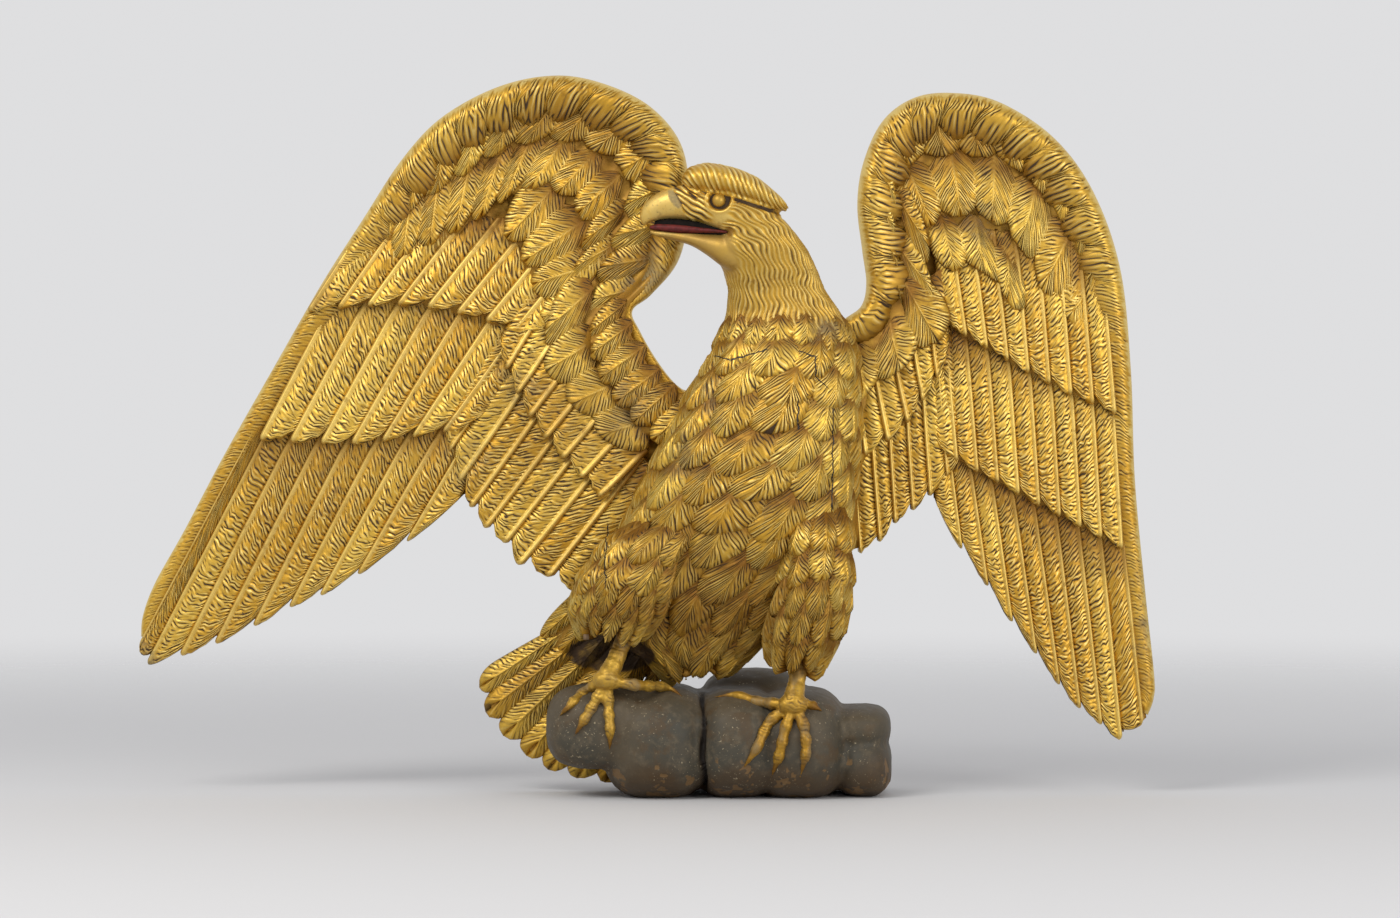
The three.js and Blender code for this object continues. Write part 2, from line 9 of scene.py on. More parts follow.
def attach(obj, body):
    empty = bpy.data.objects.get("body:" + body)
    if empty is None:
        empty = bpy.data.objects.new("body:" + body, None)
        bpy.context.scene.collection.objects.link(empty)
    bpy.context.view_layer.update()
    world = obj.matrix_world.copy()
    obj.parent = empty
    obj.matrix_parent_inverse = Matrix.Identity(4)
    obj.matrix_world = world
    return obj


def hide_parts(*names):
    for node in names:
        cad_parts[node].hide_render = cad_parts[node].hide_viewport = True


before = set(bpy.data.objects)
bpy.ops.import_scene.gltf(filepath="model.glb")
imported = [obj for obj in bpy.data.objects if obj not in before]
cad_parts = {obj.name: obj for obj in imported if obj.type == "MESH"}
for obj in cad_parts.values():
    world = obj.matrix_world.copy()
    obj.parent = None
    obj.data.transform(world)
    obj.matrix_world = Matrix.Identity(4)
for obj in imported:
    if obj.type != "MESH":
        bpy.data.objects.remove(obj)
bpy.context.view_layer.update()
front = Vector((0, -1, 0))
print("frame loaded")


def mix(a, b, share):
    return a + (b - a) * share


def smooth(low, high, value):
    t = min(1, max(0, (value - low) / (high - low)))
    return t * t * (3 - 2 * t)


# a smooth line through its points, u from 0 to 1
def splineAt(points, u):
    last = len(points) - 1
    at = last * min(1, max(0, u))
    i = min(int(at), last - 1)
    t = at - i
    a, b, c, d = points[max(0, i - 1)], points[i], points[i + 1], points[min(last, i + 2)]
    out = []
    for p, q, r, s in zip(a, b, c, d):
        m, n = (r - p) / 2, (s - q) / 2
        out.append((2 * q - 2 * r + m + n) * t ** 3 + (-3 * q + 3 * r - 2 * m - n) * t ** 2 + m * t + q)
    return out


# the same line with u even along its length
def evenLine(points, steps=160):
    samples = [splineAt(points, i / steps) for i in range(steps + 1)]
    lengths = [0]
    for a, b in zip(samples, samples[1:]):
        lengths.append(lengths[-1] + math.dist(a, b))

    def at(u):
        want = min(1, max(0, u)) * lengths[-1]
        i = 0
        low, high = 0, steps
        while high - low > 1:
            i = (low + high) // 2
            if lengths[i] > want:
                high = i
            else:
                low = i
        t = (want - lengths[low]) / max(1e-9, lengths[high] - lengths[low])
        return [mix(a, b, t) for a, b in zip(samples[low], samples[high])]

    at.length = lengths[-1]
    return at


# the place of a feather along its row, counted in feathers and carried on past both ends
def rowLine(points, count):
    last = count - 1
    line = (lambda u: splineAt(points, u)) if len(points) == count else evenLine(points)

    def at(position):
        inside = min(last, max(0, position))
        place = line(inside / last)
        over = position - inside
        if over == 0:
            return place
        beside = line((inside - math.copysign(1, over)) / last)
        return [a + (a - b) * abs(over) for a, b in zip(place, beside)]

    return at


wings = {
    "sweep": 0.05,
    "bodyMiddle": 0.17,
    "shoulderReach": 0.17,
    "back": 0.013,
}


def sweepBack(x):
    return wings["sweep"] * max(0, abs(x - wings["bodyMiddle"]) - wings["shoulderReach"])


leftWing = {
    "edge": [
        (0.089, 0.666), (0.050, 0.691), (0.017, 0.733), (-0.010, 0.780), (-0.022, 0.812), (0.009, 0.838),
        (0.056, 0.898), (0.073, 0.990), (0.062, 1.086), (0.014, 1.151), (-0.058, 1.191), (-0.146, 1.210),
        (-0.246, 1.193), (-0.345, 1.141), (-0.414, 1.069), (-0.481, 0.967), (-0.548, 0.863), (-0.632, 0.718),
        (-0.716, 0.571), (-0.783, 0.445), (-0.833, 0.356), (-0.854, 0.300),
        (-0.857, 0.264),
    ],
    "turnIn": 1,
    "lean": 0.007,
    "fullFrom": (0.09, 0.17),
    "rows": [
        {"kind": "quill", "count": 9,
         "roots": [(-0.577, 0.772), (-0.611, 0.667), (-0.565, 0.667), (-0.518, 0.665), (-0.470, 0.663),
                   (-0.422, 0.659), (-0.374, 0.653), (-0.327, 0.646), (-0.279, 0.638)],
         "tips": [(-0.858, 0.246), (-0.843, 0.217), (-0.786, 0.231), (-0.727, 0.251), (-0.662, 0.281),
                  (-0.601, 0.313), (-0.549, 0.333), (-0.486, 0.368), (-0.405, 0.423)],
         "depths": (-0.014, -0.016)},
        {"kind": "quill", "count": 7, "roots": [(-0.503, 0.878), (-0.336, 0.872), (-0.170, 0.844)],
         "tips": [(-0.650, 0.594), (-0.490, 0.588), (-0.342, 0.608)], "depths": (-0.016, -0.030)},
        {"kind": "quill", "count": 8, "roots": [(-0.466, 0.971), (-0.279, 0.973), (-0.085, 0.944)],
         "tips": [(-0.569, 0.810), (-0.395, 0.820), (-0.221, 0.780)], "depths": (-0.018, -0.038)},
        {"kind": "fan", "count": 8, "roots": [(-0.195, 0.780), (-0.095, 0.688), (0.022, 0.529)],
         "tips": [(-0.332, 0.576), (-0.316, 0.526), (-0.297, 0.482), (-0.272, 0.447), (-0.240, 0.422),
                  (-0.215, 0.385), (-0.165, 0.365), (-0.125, 0.342)],
         "depths": (-0.024, -0.022)},
        {"kind": "fan", "count": 7, "roots": [(-0.165, 0.830), (-0.085, 0.705), (0.000, 0.580)],
         "tips": [(-0.236, 0.713), (-0.185, 0.615), (-0.080, 0.500)], "depths": (-0.030, -0.044)},
        {"kind": "leaf", "count": 4, "roots": [(-0.090, 0.850), (-0.070, 0.746), (0.000, 0.629)],
         "tips": [(-0.169, 0.779), (-0.169, 0.709), (-0.078, 0.604)], "depths": (-0.028, -0.048)},
        {"kind": "leaf", "count": 6,
         "roots": [(-0.034, 0.826), (-0.024, 0.792), (-0.002, 0.755), (0.022, 0.716), (0.048, 0.690), (0.082, 0.664)],
         "tips": [(-0.096, 0.775), (-0.095, 0.738), (-0.078, 0.698), (-0.052, 0.658), (-0.022, 0.625), (0.010, 0.594)],
         "depths": (-0.037, -0.052)},
        {"kind": "leaf", "count": 14,
         "roots": [(-0.461, 0.962), (-0.406, 1.046), (-0.347, 1.113), (-0.246, 1.167), (-0.146, 1.180),
                   (-0.045, 1.158), (0.026, 1.100), (0.052, 1.007), (0.022, 0.915), (-0.025, 0.848)],
         "tips": [(-0.467, 0.884), (-0.400, 0.974), (-0.329, 1.025), (-0.237, 1.082), (-0.152, 1.095),
                  (-0.075, 1.072), (-0.036, 1.031), (-0.041, 0.973), (-0.078, 0.894), (-0.098, 0.830)],
         "depths": (-0.014, -0.024)},
        {"kind": "leaf", "count": 10,
         "roots": [(-0.394, 1.015), (-0.333, 1.057), (-0.260, 1.082), (-0.179, 1.116), (-0.095, 1.091),
                   (-0.031, 1.015), (-0.042, 0.931)],
         "tips": [(-0.409, 0.904), (-0.345, 0.930), (-0.275, 0.970), (-0.207, 1.014), (-0.141, 1.004),
                  (-0.106, 0.944), (-0.125, 0.883)],
         "depths": (-0.010, -0.034)},
        {"kind": "leaf", "count": 4, "roots": [(-0.145, 1.031), (-0.092, 0.973), (-0.078, 0.894), (-0.078, 0.830)],
         "tips": [(-0.235, 0.933), (-0.208, 0.893), (-0.195, 0.855), (-0.178, 0.800)],
         "depths": (-0.016, -0.044)},
    ],
}

rightWing = {
    "edge": [
        (0.300, 0.770), (0.330, 0.800), (0.358, 0.822), (0.366, 0.860), (0.359, 0.915), (0.351, 0.990),
        (0.361, 1.061), (0.393, 1.131), (0.445, 1.171), (0.510, 1.181), (0.592, 1.166), (0.685, 1.106),
        (0.753, 1.014), (0.799, 0.883), (0.817, 0.713), (0.824, 0.529), (0.842, 0.339), (0.857, 0.200),
        (0.856, 0.160), (0.846, 0.132),
    ],
    "turnIn": -1,
    "lean": -0.006,
    "fullFrom": (-0.02, 0.08),
    "rows": [
        {"kind": "quill", "count": 9, "roots": [(0.798, 0.454), (0.654, 0.512), (0.505, 0.596)],
         "tips": [(0.833, 0.116), (0.797, 0.091), (0.764, 0.116), (0.728, 0.143), (0.693, 0.183),
                  (0.654, 0.235), (0.613, 0.289), (0.572, 0.349), (0.529, 0.411)],
         "depths": (-0.014, -0.016)},
        {"kind": "quill", "count": 9, "roots": [(0.780, 0.721), (0.636, 0.763), (0.499, 0.797)],
         "tips": [(0.797, 0.412), (0.662, 0.482), (0.520, 0.559)], "depths": (-0.016, -0.030)},
        {"kind": "quill", "count": 8, "roots": [(0.764, 0.906), (0.650, 0.939), (0.508, 0.956)],
         "tips": [(0.785, 0.638), (0.673, 0.689), (0.535, 0.768)], "depths": (-0.018, -0.038)},
        {"kind": "fan", "count": 6, "roots": [(0.484, 0.763), (0.424, 0.713), (0.340, 0.663)],
         "tips": [(0.504, 0.532), (0.476, 0.501), (0.447, 0.477), (0.417, 0.455), (0.391, 0.424),
                  (0.359, 0.405)],
         "depths": (-0.024, -0.022)},
        {"kind": "fan", "count": 5, "roots": [(0.466, 0.855), (0.407, 0.780), (0.350, 0.688)],
         "tips": [(0.486, 0.699), (0.431, 0.616), (0.366, 0.569)], "depths": (-0.030, -0.044)},
        {"kind": "leaf", "count": 3, "roots": [(0.432, 0.858), (0.407, 0.793), (0.353, 0.755)],
         "tips": [(0.486, 0.759), (0.423, 0.711), (0.363, 0.666)], "depths": (-0.034, -0.058)},
        {"kind": "leaf", "count": 6,
         "roots": [(0.404, 1.105), (0.390, 1.038), (0.390, 0.970), (0.402, 0.898), (0.424, 0.836)],
         "tips": [(0.420, 1.051), (0.417, 0.994), (0.417, 0.944), (0.424, 0.847), (0.437, 0.788)],
         "depths": (-0.026, -0.038)},
        {"kind": "leaf", "count": 2, "roots": [(0.421, 1.001), (0.421, 0.922)],
         "tips": [(0.473, 0.916), (0.480, 0.840)], "depths": (-0.022, -0.046)},
        {"kind": "leaf", "count": 9,
         "roots": [(0.424, 1.140), (0.467, 1.163), (0.534, 1.163), (0.601, 1.147), (0.668, 1.108),
                   (0.727, 1.041), (0.767, 0.962), (0.791, 0.881)],
         "tips": [(0.438, 1.055), (0.491, 1.070), (0.545, 1.070), (0.605, 1.058), (0.654, 1.020),
                  (0.692, 0.968), (0.722, 0.914), (0.756, 0.800)],
         "depths": (-0.014, -0.024)},
        {"kind": "leaf", "count": 6,
         "roots": [(0.433, 1.066), (0.509, 1.091), (0.584, 1.082), (0.659, 1.040), (0.718, 0.957), (0.747, 0.856)],
         "tips": [(0.477, 0.954), (0.526, 0.970), (0.578, 0.959), (0.624, 0.917), (0.661, 0.848), (0.705, 0.800)],
         "depths": (-0.010, -0.034)},
        {"kind": "leaf", "count": 3, "roots": [(0.491, 0.978), (0.550, 0.973), (0.605, 0.922)],
         "tips": [(0.517, 0.878), (0.565, 0.875), (0.607, 0.823)], "depths": (-0.016, -0.044)},
    ],
}

# a feather from side to side: (feather widths or half widths from its shaft, height, share of the barb cuts)
featherKinds = {
    "quill": {
        "columns": [(-0.11, -0.007, 0), (-0.10, 0.002, 0), (-0.05, 0.0076, 0), (0.03, 0.0084, 0), (0.09, 0.0042, 0),
                    (0.15, 0.0038, 0.7), (0.28, 0.0062, 1), (0.44, 0.0074, 1), (0.60, 0.0070, 1), (0.76, 0.0052, 1),
                    (0.90, 0.0015, 1), (1.0, -0.006, 0.5)],
        "barbAngle": 37,
        "barbRise": 6,
        "shade": (0.05, 0.42),
        "wide": 1,
    },
    "leaf": {
        "columns": [(-1, -0.008, 0.5), (-0.94, 0.001, 1), (-0.72, 0.0045, 1), (-0.48, 0.007, 1), (-0.24, 0.009, 1),
                    (-0.07, 0.0095, 0.5), (0, 0.0115, 0), (0.07, 0.0095, 0.5), (0.24, 0.009, 1), (0.48, 0.007, 1),
                    (0.72, 0.0045, 1), (0.94, 0.001, 1), (1, -0.008, 0.5)],
        "barbAngle": 38,
        "halfWidth": 0.56,
        "roundFrom": 0.5,
        "shade": (0.15, 0.52),
        "wide": 1.2,
    },
}
featherKinds["fan"] = dict(featherKinds["quill"], mirrored=True)
featherKinds["tail"] = dict(featherKinds["leaf"], halfWidth=0.6, roundFrom=0.86)
featherKinds["breast"] = dict(featherKinds["leaf"], halfWidth=0.64, roundFrom=0.46, shade=(0.36, 0.62))
featherKinds["shaggy"] = dict(featherKinds["leaf"], halfWidth=0.58, roundFrom=0.30, barbAngle=24, shade=(0.36, 0.64))
bareTone = 2
barbs = {"step": 0.0074, "depth": 0.0021, "wander": 0.8}

# rubbed and dirty places, then places darkened to amber with painted shade: (x, z, radius across, radius up, strength)
wornPlaces = [
    (0.000, 0.870, 0.060, 0.050, 0.9), (-0.030, 0.640, 0.060, 0.070, 0.6), (0.060, 0.560, 0.050, 0.080, 0.6),
    (0.110, 0.660, 0.030, 0.080, 0.5), (-0.110, 0.290, 0.040, 0.030, 0.4), (0.565, 0.960, 0.045, 0.090, 0.6),
    (-0.300, 0.560, 0.100, 0.080, 0.5), (-0.560, 0.480, 0.120, 0.100, 0.35), (0.300, 0.780, 0.040, 0.040, 0.7),
    (0.840, 0.330, 0.030, 0.220, 0.6), (-0.840, 0.230, 0.040, 0.050, 0.8), (0.140, 0.930, 0.030, 0.020, 0.3),
    (-0.210, 0.690, 0.060, 0.060, 0.55), (0.020, 0.980, 0.050, 0.060, 0.4), (0.180, 0.480, 0.050, 0.050, 0.4),
]


shadedPlaces = [
    (0.110, 0.300, 0.200, 0.110, 0.85), (0.060, 0.380, 0.110, 0.120, 0.55), (-0.120, 0.620, 0.160, 0.140, 0.45),
    (0.395, 0.800, 0.060, 0.160, 0.50), (0.320, 0.790, 0.050, 0.060, 0.60), (-0.150, 1.135, 0.260, 0.060, 0.65),
    (0.560, 1.110, 0.170, 0.060, 0.65), (-0.560, 0.900, 0.070, 0.160, 0.45), (-0.180, 0.180, 0.120, 0.060, 0.40),
    (-0.030, 0.860, 0.080, 0.100, 0.35), (0.790, 0.950, 0.040, 0.150, 0.40),
]


def strengthAt(places, co):
    most = 0
    for x, z, wide, high, strength in places:
        far = math.hypot((co.x - x) / wide, (co.z - z) / high)
        if far < 1.6:
            patch = noise.noise(Vector((co.x * 30, co.y * 30, co.z * 30))) * 0.5
            most = max(most, strength * smooth(1.3, 0.1, far + patch))
    return most


def wornAt(co):
    return strengthAt(wornPlaces, co)


# how strongly a point is darkened with painted shade
def shadeAt(co):
    return strengthAt(shadedPlaces, co)


# painted shadow in the space behind the skirt of the left thigh
skirtShadow = {"x": -0.060, "z": 0.236, "wide": 0.085, "high": 0.036, "from": -0.128, "to": -0.112}


def skirtShadowAt(co):
    far = math.hypot((co.x - skirtShadow["x"]) / skirtShadow["wide"], (co.z - skirtShadow["z"]) / skirtShadow["high"])
    return smooth(1.15, 0.7, far) * smooth(skirtShadow["from"], skirtShadow["to"], co.y)


# how many feather widths a quill's outline falls short of its tip, at a share of its width from the shaft
def quillShort(side):
    if side < 0.08:
        return 0.16 * ((0.08 - side) / 0.19) ** 2
    return 0.95 * (1 - math.sqrt(max(0, 1 - ((side - 0.08) / 0.95) ** 2)))


def leafWidth(v, roundFrom):
    if v < roundFrom:
        return 0.62 + 0.38 * smooth(-0.1, roundFrom, v)
    return math.sqrt(max(0, 1 - ((v - roundFrom) / (1 - roundFrom)) ** 2.4))


# one feather: place(side, v) gives the point on the wood under it and the way it faces
def addFeather(bm, kind, place, length, width, seed, layers, sink):
    form = featherKinds[kind]
    isLeaf = "halfWidth" in form
    columns = form["columns"]
    half = form.get("halfWidth", 0.5)
    flip = -1 if form.get("mirrored") else 1
    reach = (half if isLeaf else 0.9) * width / math.tan(math.radians(form["barbAngle"])) / length
    reach = min(reach, 0.5)
    rows = max(8, 2 * round(length * (1.05 + reach) / barbs["step"]))
    grid = bmesh.ops.create_grid(bm, x_segments=len(columns) - 1, y_segments=rows, size=1)["verts"]
    grid.sort(key=lambda v: (round((v.co.y + 1) * rows / 2), round((v.co.x + 1) * (len(columns) - 1) / 2)))
    tone = random.Random(seed).random()
    cut, deep, own, worn = layers
    for i, vert in enumerate(grid):
        row, column = divmod(i, len(columns))
        side, height, share = columns[column]
        q = row / rows
        if isLeaf:
            start = -0.15 + 1.05 * q
            border = min(1, start + reach * (1 - q ** 3) + 0.1 * q ** 3)
            v = mix(start, border, abs(side) ** 0.9)
            across = side * half * leafWidth(border, form["roundFrom"])
        else:
            slope = reach * max(0, side - 0.1) / 0.9
            v = q * (1 + reach) - reach + slope * (1 - q ** form["barbRise"])
            v *= 1 - quillShort(side) * width / length * smooth(0.3, 1, q)
            across = flip * side
        v = max(0, v)
        bend = noise.noise(Vector((across * 5, row * 0.17, seed))) * barbs["wander"]
        strength = noise.noise(Vector((across * 5, row * 0.33, seed + 31.7))) * 2.6 + 0.45
        strength = max(-0.9, min(1, strength)) * share
        if isLeaf:
            strength *= mix(1, 0.45, smooth(0.82, 1, q))
        ridge = strength * (1 if row % 2 else -1)
        v += bend * barbs["step"] / length * share
        endDrop = 0.35 * height + 0.009 if row == rows else (0.1 * height + 0.001 if row == rows - 1 else 0)
        point, facing = place(across, min(1, v))
        lift = height * (0.45 + 0.55 * smooth(0, 0.5, v)) + ridge * barbs["depth"] - endDrop
        vert.co = point + facing * lift
        # the cut value also carries the painted shadow behind the left thigh's skirt
        vert[cut] = max(0.5 - 0.5 * ridge if share else 0.26, skirtShadowAt(vert.co))
        # painted shade: darker near the root under the row above, where the feather's edge sinks, and at the shaded
        # places
        vert[deep] = max(1 - smooth(*form["shade"], v), smooth(-0.001, -0.006, height), shadeAt(vert.co))
        vert[own] = tone
        vert[worn] = wornAt(vert.co)
    rim = {e for v in grid for e in v.link_edges if e.is_boundary}
    made = bmesh.ops.extrude_edge_only(bm, edges=list(rim))["geom"]
    for vert in made:
        if isinstance(vert, bmesh.types.BMVert):
            vert.co = sink(vert.co)
            # painted shade on the feather's sunk sides
            vert[deep] = 1
            vert[own] = bareTone
    bmesh.ops.contextual_create(bm, geom=[e for e in made if isinstance(e, bmesh.types.BMEdge) and e.is_boundary])


def featherLayers(bm):
    return [bm.verts.layers.float.new(name) for name in ("cut", "deep", "tone", "worn")]


def pieceFrom(bm, name, material, nodeName, recalc=True):
    if recalc:
        bmesh.ops.recalc_face_normals(bm, faces=bm.faces)
    mesh = bpy.data.meshes.new(name)
    bm.to_mesh(mesh)
    bm.free()
    mesh.shade_smooth()
    piece = bpy.data.objects.new(name, mesh)
    bpy.context.scene.collection.objects.link(piece)
    mesh.materials.append(material)
    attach(piece, "root")
    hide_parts(nodeName)
    print(name, sum(len(p.vertices) - 2 for p in mesh.polygons), "triangles")
    return piece


def wingPlace(row):
    roots, tips = rowLine(row["roots"], row["count"]), rowLine(row["tips"], row["count"])
    low, high = row["depths"]

    def place(position, v):
        (rx, rz), (tx, tz) = roots(position), tips(position)
        x = mix(rx, tx, v)
        return Vector((x, mix(low, high, v) + sweepBack(x), mix(rz, tz, v))), front

    return place


def wingSink(co):
    return Vector((co.x, wings["back"] + sweepBack(co.x), co.z))


def addWingRow(bm, row, layers, seed):
    place = wingPlace(row)
    for i in range(row["count"]):
        root, tip = place(i, 0)[0], place(i, 1)[0]
        width = ((place(i + 0.5, 0.5)[0] - place(i - 0.5, 0.5)[0]).length
                 + (place(i + 0.5, 1)[0] - place(i - 0.5, 1)[0]).length) / 2
        wide = featherKinds[row["kind"]]["wide"]
        addFeather(bm, row["kind"], lambda side, v: place(i + side * wide, v), (tip - root).length, width * wide,
                   seed + i * 1.37, layers, wingSink)


# the rolled leading edge of a wing
rim = {"halfWidth": 0.024, "halfDepth": 0.035, "middle": -0.016, "narrow": 0.46, "thin": 0.84, "flat": 0.33,
       "sides": 20, "step": 0.0056, "strokeDepth": 0.0017, "scallop": 0.55, "vaneLean": -0.011, "slope": 0.85, "inset": 0.002, "startSize": 0.30, "startRise": 0.020,
       "groupLength": 0.070, "groupSplay": 0.0092, "groupSwell": 0.05}


def addRim(bm, wing, layers, seed):
    at = evenLine(wing["edge"])
    rings = 2 * round(at.length / rim["step"])
    sides = rim["sides"]
    cut, deep, own, worn = layers
    grid = bmesh.ops.create_grid(bm, x_segments=sides, y_segments=rings + 2, size=1)["verts"]
    for vert in grid:
        column = round((vert.co.x + 1) * sides / 2) % sides
        row = round((vert.co.y + 1) * (rings + 2) / 2)
        t = min(1, max(0, (row - 1) / rings))
        pinch = 0 if row in (0, rings + 2) else 1
        lead = smooth(*wing["fullFrom"], t)
        lower = max(0, t - 0.45) / 0.55
        size = (1 - rim["narrow"] * lower) * mix(rim["startSize"], 1, lead)
        deepSize = max(rim["flat"], 1 - rim["thin"] * lower) * mix(rim["startSize"], 1, lead)
        (ax, az), (bx, bz) = at(t - 0.002), at(t + 0.002)
        inward = Vector((az - bz, 0, bx - ax)).normalized() * wing["turnIn"]
        x, z = at(t)
        turn = column / sides * 2 * math.pi
        across, out = math.cos(turn), -math.sin(turn)
        started = noise.noise(Vector((row * 0.42, 3, seed))) * 0.34
        strokes = pinch * smooth(-0.85, -0.45, across + started) * smooth(-0.3, 0.2, out)
        strength = noise.noise(Vector((turn * 3, row * 0.28, seed))) * 2.6 + 0.45
        ridge = max(-0.8, min(1, strength)) * strokes * (1 if row % 2 else -1) * size
        spread = pinch * size + ridge * rim["strokeDepth"] / rim["halfWidth"]
        wander = noise.noise(Vector((math.cos(turn) * 1.5, row * 0.12, seed + 9))) * 0.7 * rim["step"]
        group = t * at.length / rim["groupLength"] * 2 * math.pi
        group += 1.6 * noise.noise(Vector((t * 9, 1, seed)))
        grouped = smooth(0.66, 0.52, t) * smooth(-0.6, 0.5, across) * lead
        splay = rim["groupSplay"] * math.sin(group) * grouped * size + wander * strokes
        lean = mix(wing["lean"], rim["vaneLean"], smooth(0.55, 0.68, t)) * (1 + across) * pinch * size
        creaseShade = smooth(-0.78, -0.98, math.cos(group)) * grouped
        spread *= 1 + rim["groupSwell"] * math.cos(group) * grouped
        x, z = at(t + lean + splay / at.length)
        centre = Vector((x, 0, z)) + inward * (rim["halfWidth"] * size + rim["inset"])
        skirt = rim["slope"] * (1 + rim["scallop"] * math.cos(group) * grouped) * smooth(0, 1, across)
        centre += inward * across * rim["halfWidth"] * spread * (1 + skirt)
        depth = rim["middle"] * deepSize - out * rim["halfDepth"] * spread * deepSize / size
        depth -= rim["startRise"] * (1 - lead)
        vert.co = Vector((centre.x, depth + sweepBack(centre.x), centre.z))
        # painted shade in the creases between the rim's feather groups and on the rim's inner side
        vert[cut] = max(mix(0.12, 0.5 - 0.5 * ridge, strokes), 0.8 * creaseShade)
        vert[deep] = mix(0.75, 0.35 + 0.45 * math.cos(group), 0.6) * smooth(0.30, 0.95, across) + 0.1
        vert[own] = 0.5
        vert[worn] = wornAt(vert.co)
    bmesh.ops.remove_doubles(bm, verts=grid, dist=0.00005)


# level sections of the body and thighs: (z, left, right, front, back)
bodySections = [
    (0.985, 0.150, 0.205, -0.145, -0.080),
    (0.941, 0.129, 0.242, -0.155, -0.052),
    (0.911, 0.109, 0.265, -0.150, -0.035),
    (0.878, 0.129, 0.282, -0.138, -0.018),
    (0.845, 0.139, 0.295, -0.128, 0.002),
    (0.810, 0.136, 0.320, -0.126, 0.024),
    (0.771, 0.126, 0.340, -0.134, 0.044),
    (0.730, 0.109, 0.350, -0.146, 0.062),
    (0.663, 0.069, 0.353, -0.160, 0.080),
    (0.579, 0.026, 0.352, -0.167, 0.090),
    (0.496, -0.014, 0.343, -0.162, 0.088),
    (0.412, -0.054, 0.330, -0.148, 0.080),
    (0.328, -0.058, 0.256, -0.126, 0.066),
    (0.262, -0.036, 0.196, -0.092, 0.046),
    (0.212, 0.022, 0.140, -0.064, 0.020),
]
leftThighSections = [
    (0.480, 0.000, 0.110, -0.130, -0.020),
    (0.420, -0.070, 0.080, -0.164, 0.000),
    (0.365, -0.108, 0.052, -0.172, 0.012),
    (0.312, -0.124, 0.034, -0.160, 0.014),
    (0.282, -0.112, 0.006, -0.142, 0.004),
]
rightThighSections = [
    (0.478, 0.236, 0.334, -0.138, 0.000),
    (0.430, 0.228, 0.338, -0.165, 0.010),
    (0.375, 0.222, 0.338, -0.171, 0.006),
    (0.315, 0.206, 0.332, -0.166, -0.004),
    (0.262, 0.200, 0.316, -0.156, -0.020),
    (0.238, 0.206, 0.300, -0.144, -0.040),
]
# feathered rows on the round forms: height of the tips, length, number of feathers
breastRows = [
    (0.744, 0.066, 9), (0.698, 0.095, 6), (0.646, 0.105, 6), (0.592, 0.105, 7), (0.538, 0.105, 7),
    (0.484, 0.105, 7), (0.430, 0.105, 7), (0.378, 0.100, 8, "shaggy"), (0.326, 0.100, 8, "shaggy"),
    (0.276, 0.100, 8, "shaggy"), (0.228, 0.095, 7, "shaggy"), (0.192, 0.085, 5, "shaggy"),
]
leftThighRows = [(0.388, 0.085, 6), (0.336, 0.085, 6), (0.296, 0.085, 9, "shaggy"), (0.266, 0.070, 9, "shaggy")]
rightThighRows = [
    (0.405, 0.090, 6), (0.355, 0.085, 7), (0.305, 0.090, 8, "shaggy"), (0.254, 0.090, 8, "shaggy"),
    (0.210, 0.085, 7, "shaggy"),
]


sectionRoundness = 0.85


def sectionAt(sections, z):
    index = 0
    while index < len(sections) - 2 and sections[index + 1][0] > z:
        index += 1
    upper, lower = sections[index], sections[index + 1]
    share = (upper[0] - z) / (upper[0] - lower[0])
    return [mix(a, b, share) for a, b in zip(upper[1:], lower[1:])]


def onSections(sections, z, around):
    left, right, near, far = sectionAt(sections, z)
    c, s = math.cos(around), math.sin(around)
    x = (left + right) / 2 + (right - left) / 2 * math.copysign(abs(c) ** sectionRoundness, c)
    y = (near + far) / 2 - (far - near) / 2 * math.copysign(abs(s) ** sectionRoundness, s)
    return Vector((x, y, z))


# how far a point must move to lie under the skin of a form, or None far outside it
def moveUnder(co, sections, margin):
    if not sections[-1][0] < co.z < sections[0][0]:
        return None
    left, right, near, far = sectionAt(sections, co.z)
    centre = Vector(((left + right) / 2, (near + far) / 2, co.z))
    half, deep = (right - left) / 2, (far - near) / 2
    power = 2 / sectionRoundness
    reach = (abs((co.x - centre.x) / half) ** power + abs((co.y - centre.y) / deep) ** power) ** (1 / power)
    want = 1 - margin / min(half, deep)
    if reach > 1.45:
        return None
    return (centre - co) * (1 - want / reach) if reach > want else Vector()


def addClothing(bm, kind, sections, rows, start, end, lean, layers, seed):
    draw = random.Random(seed)
    for rowIndex, (rowTips, rowLength, count, *own) in enumerate(reversed(rows)):
        stagger = 0.25 if (len(rows) - 1 - rowIndex) % 2 else -0.25

        def around(position):
            return mix(start, end, (position + 0.5 + stagger) / count)

        for i in range(count):
            tips = rowTips + draw.uniform(-0.009, 0.011)
            length = rowLength * draw.uniform(0.94, 1.08)
            middle = tips + length / 2
            a = around(i)
            beside = onSections(sections, middle, a + 0.05) - onSections(sections, middle, a - 0.05)
            down = onSections(sections, tips, a) - onSections(sections, tips + length, a)
            facing = beside.cross(down).normalized()
            width = (onSections(sections, middle, around(i - 0.5)) - onSections(sections, middle, around(i + 0.5))).length

            proud = mix(0.002, 0.009, smooth(0, 0.7, math.sin(a))) * mix(1, 0.35, smooth(0.69, 0.74, tips))

            ownLean = lean + draw.uniform(-0.16, 0.16)

            def place(side, v, i=i, facing=facing, proud=proud, tips=tips, length=length, ownLean=ownLean):
                point = onSections(sections, mix(tips + length, tips, v), around(i + side + ownLean * (0.5 - v)))
                return point + facing * mix(-0.007, proud, v), facing

            addFeather(bm, own[0] if own else kind, place, length, width, seed + rowIndex * 7.7 + i * 1.91, layers,
                       lambda co, facing=facing: co - facing * 0.02)


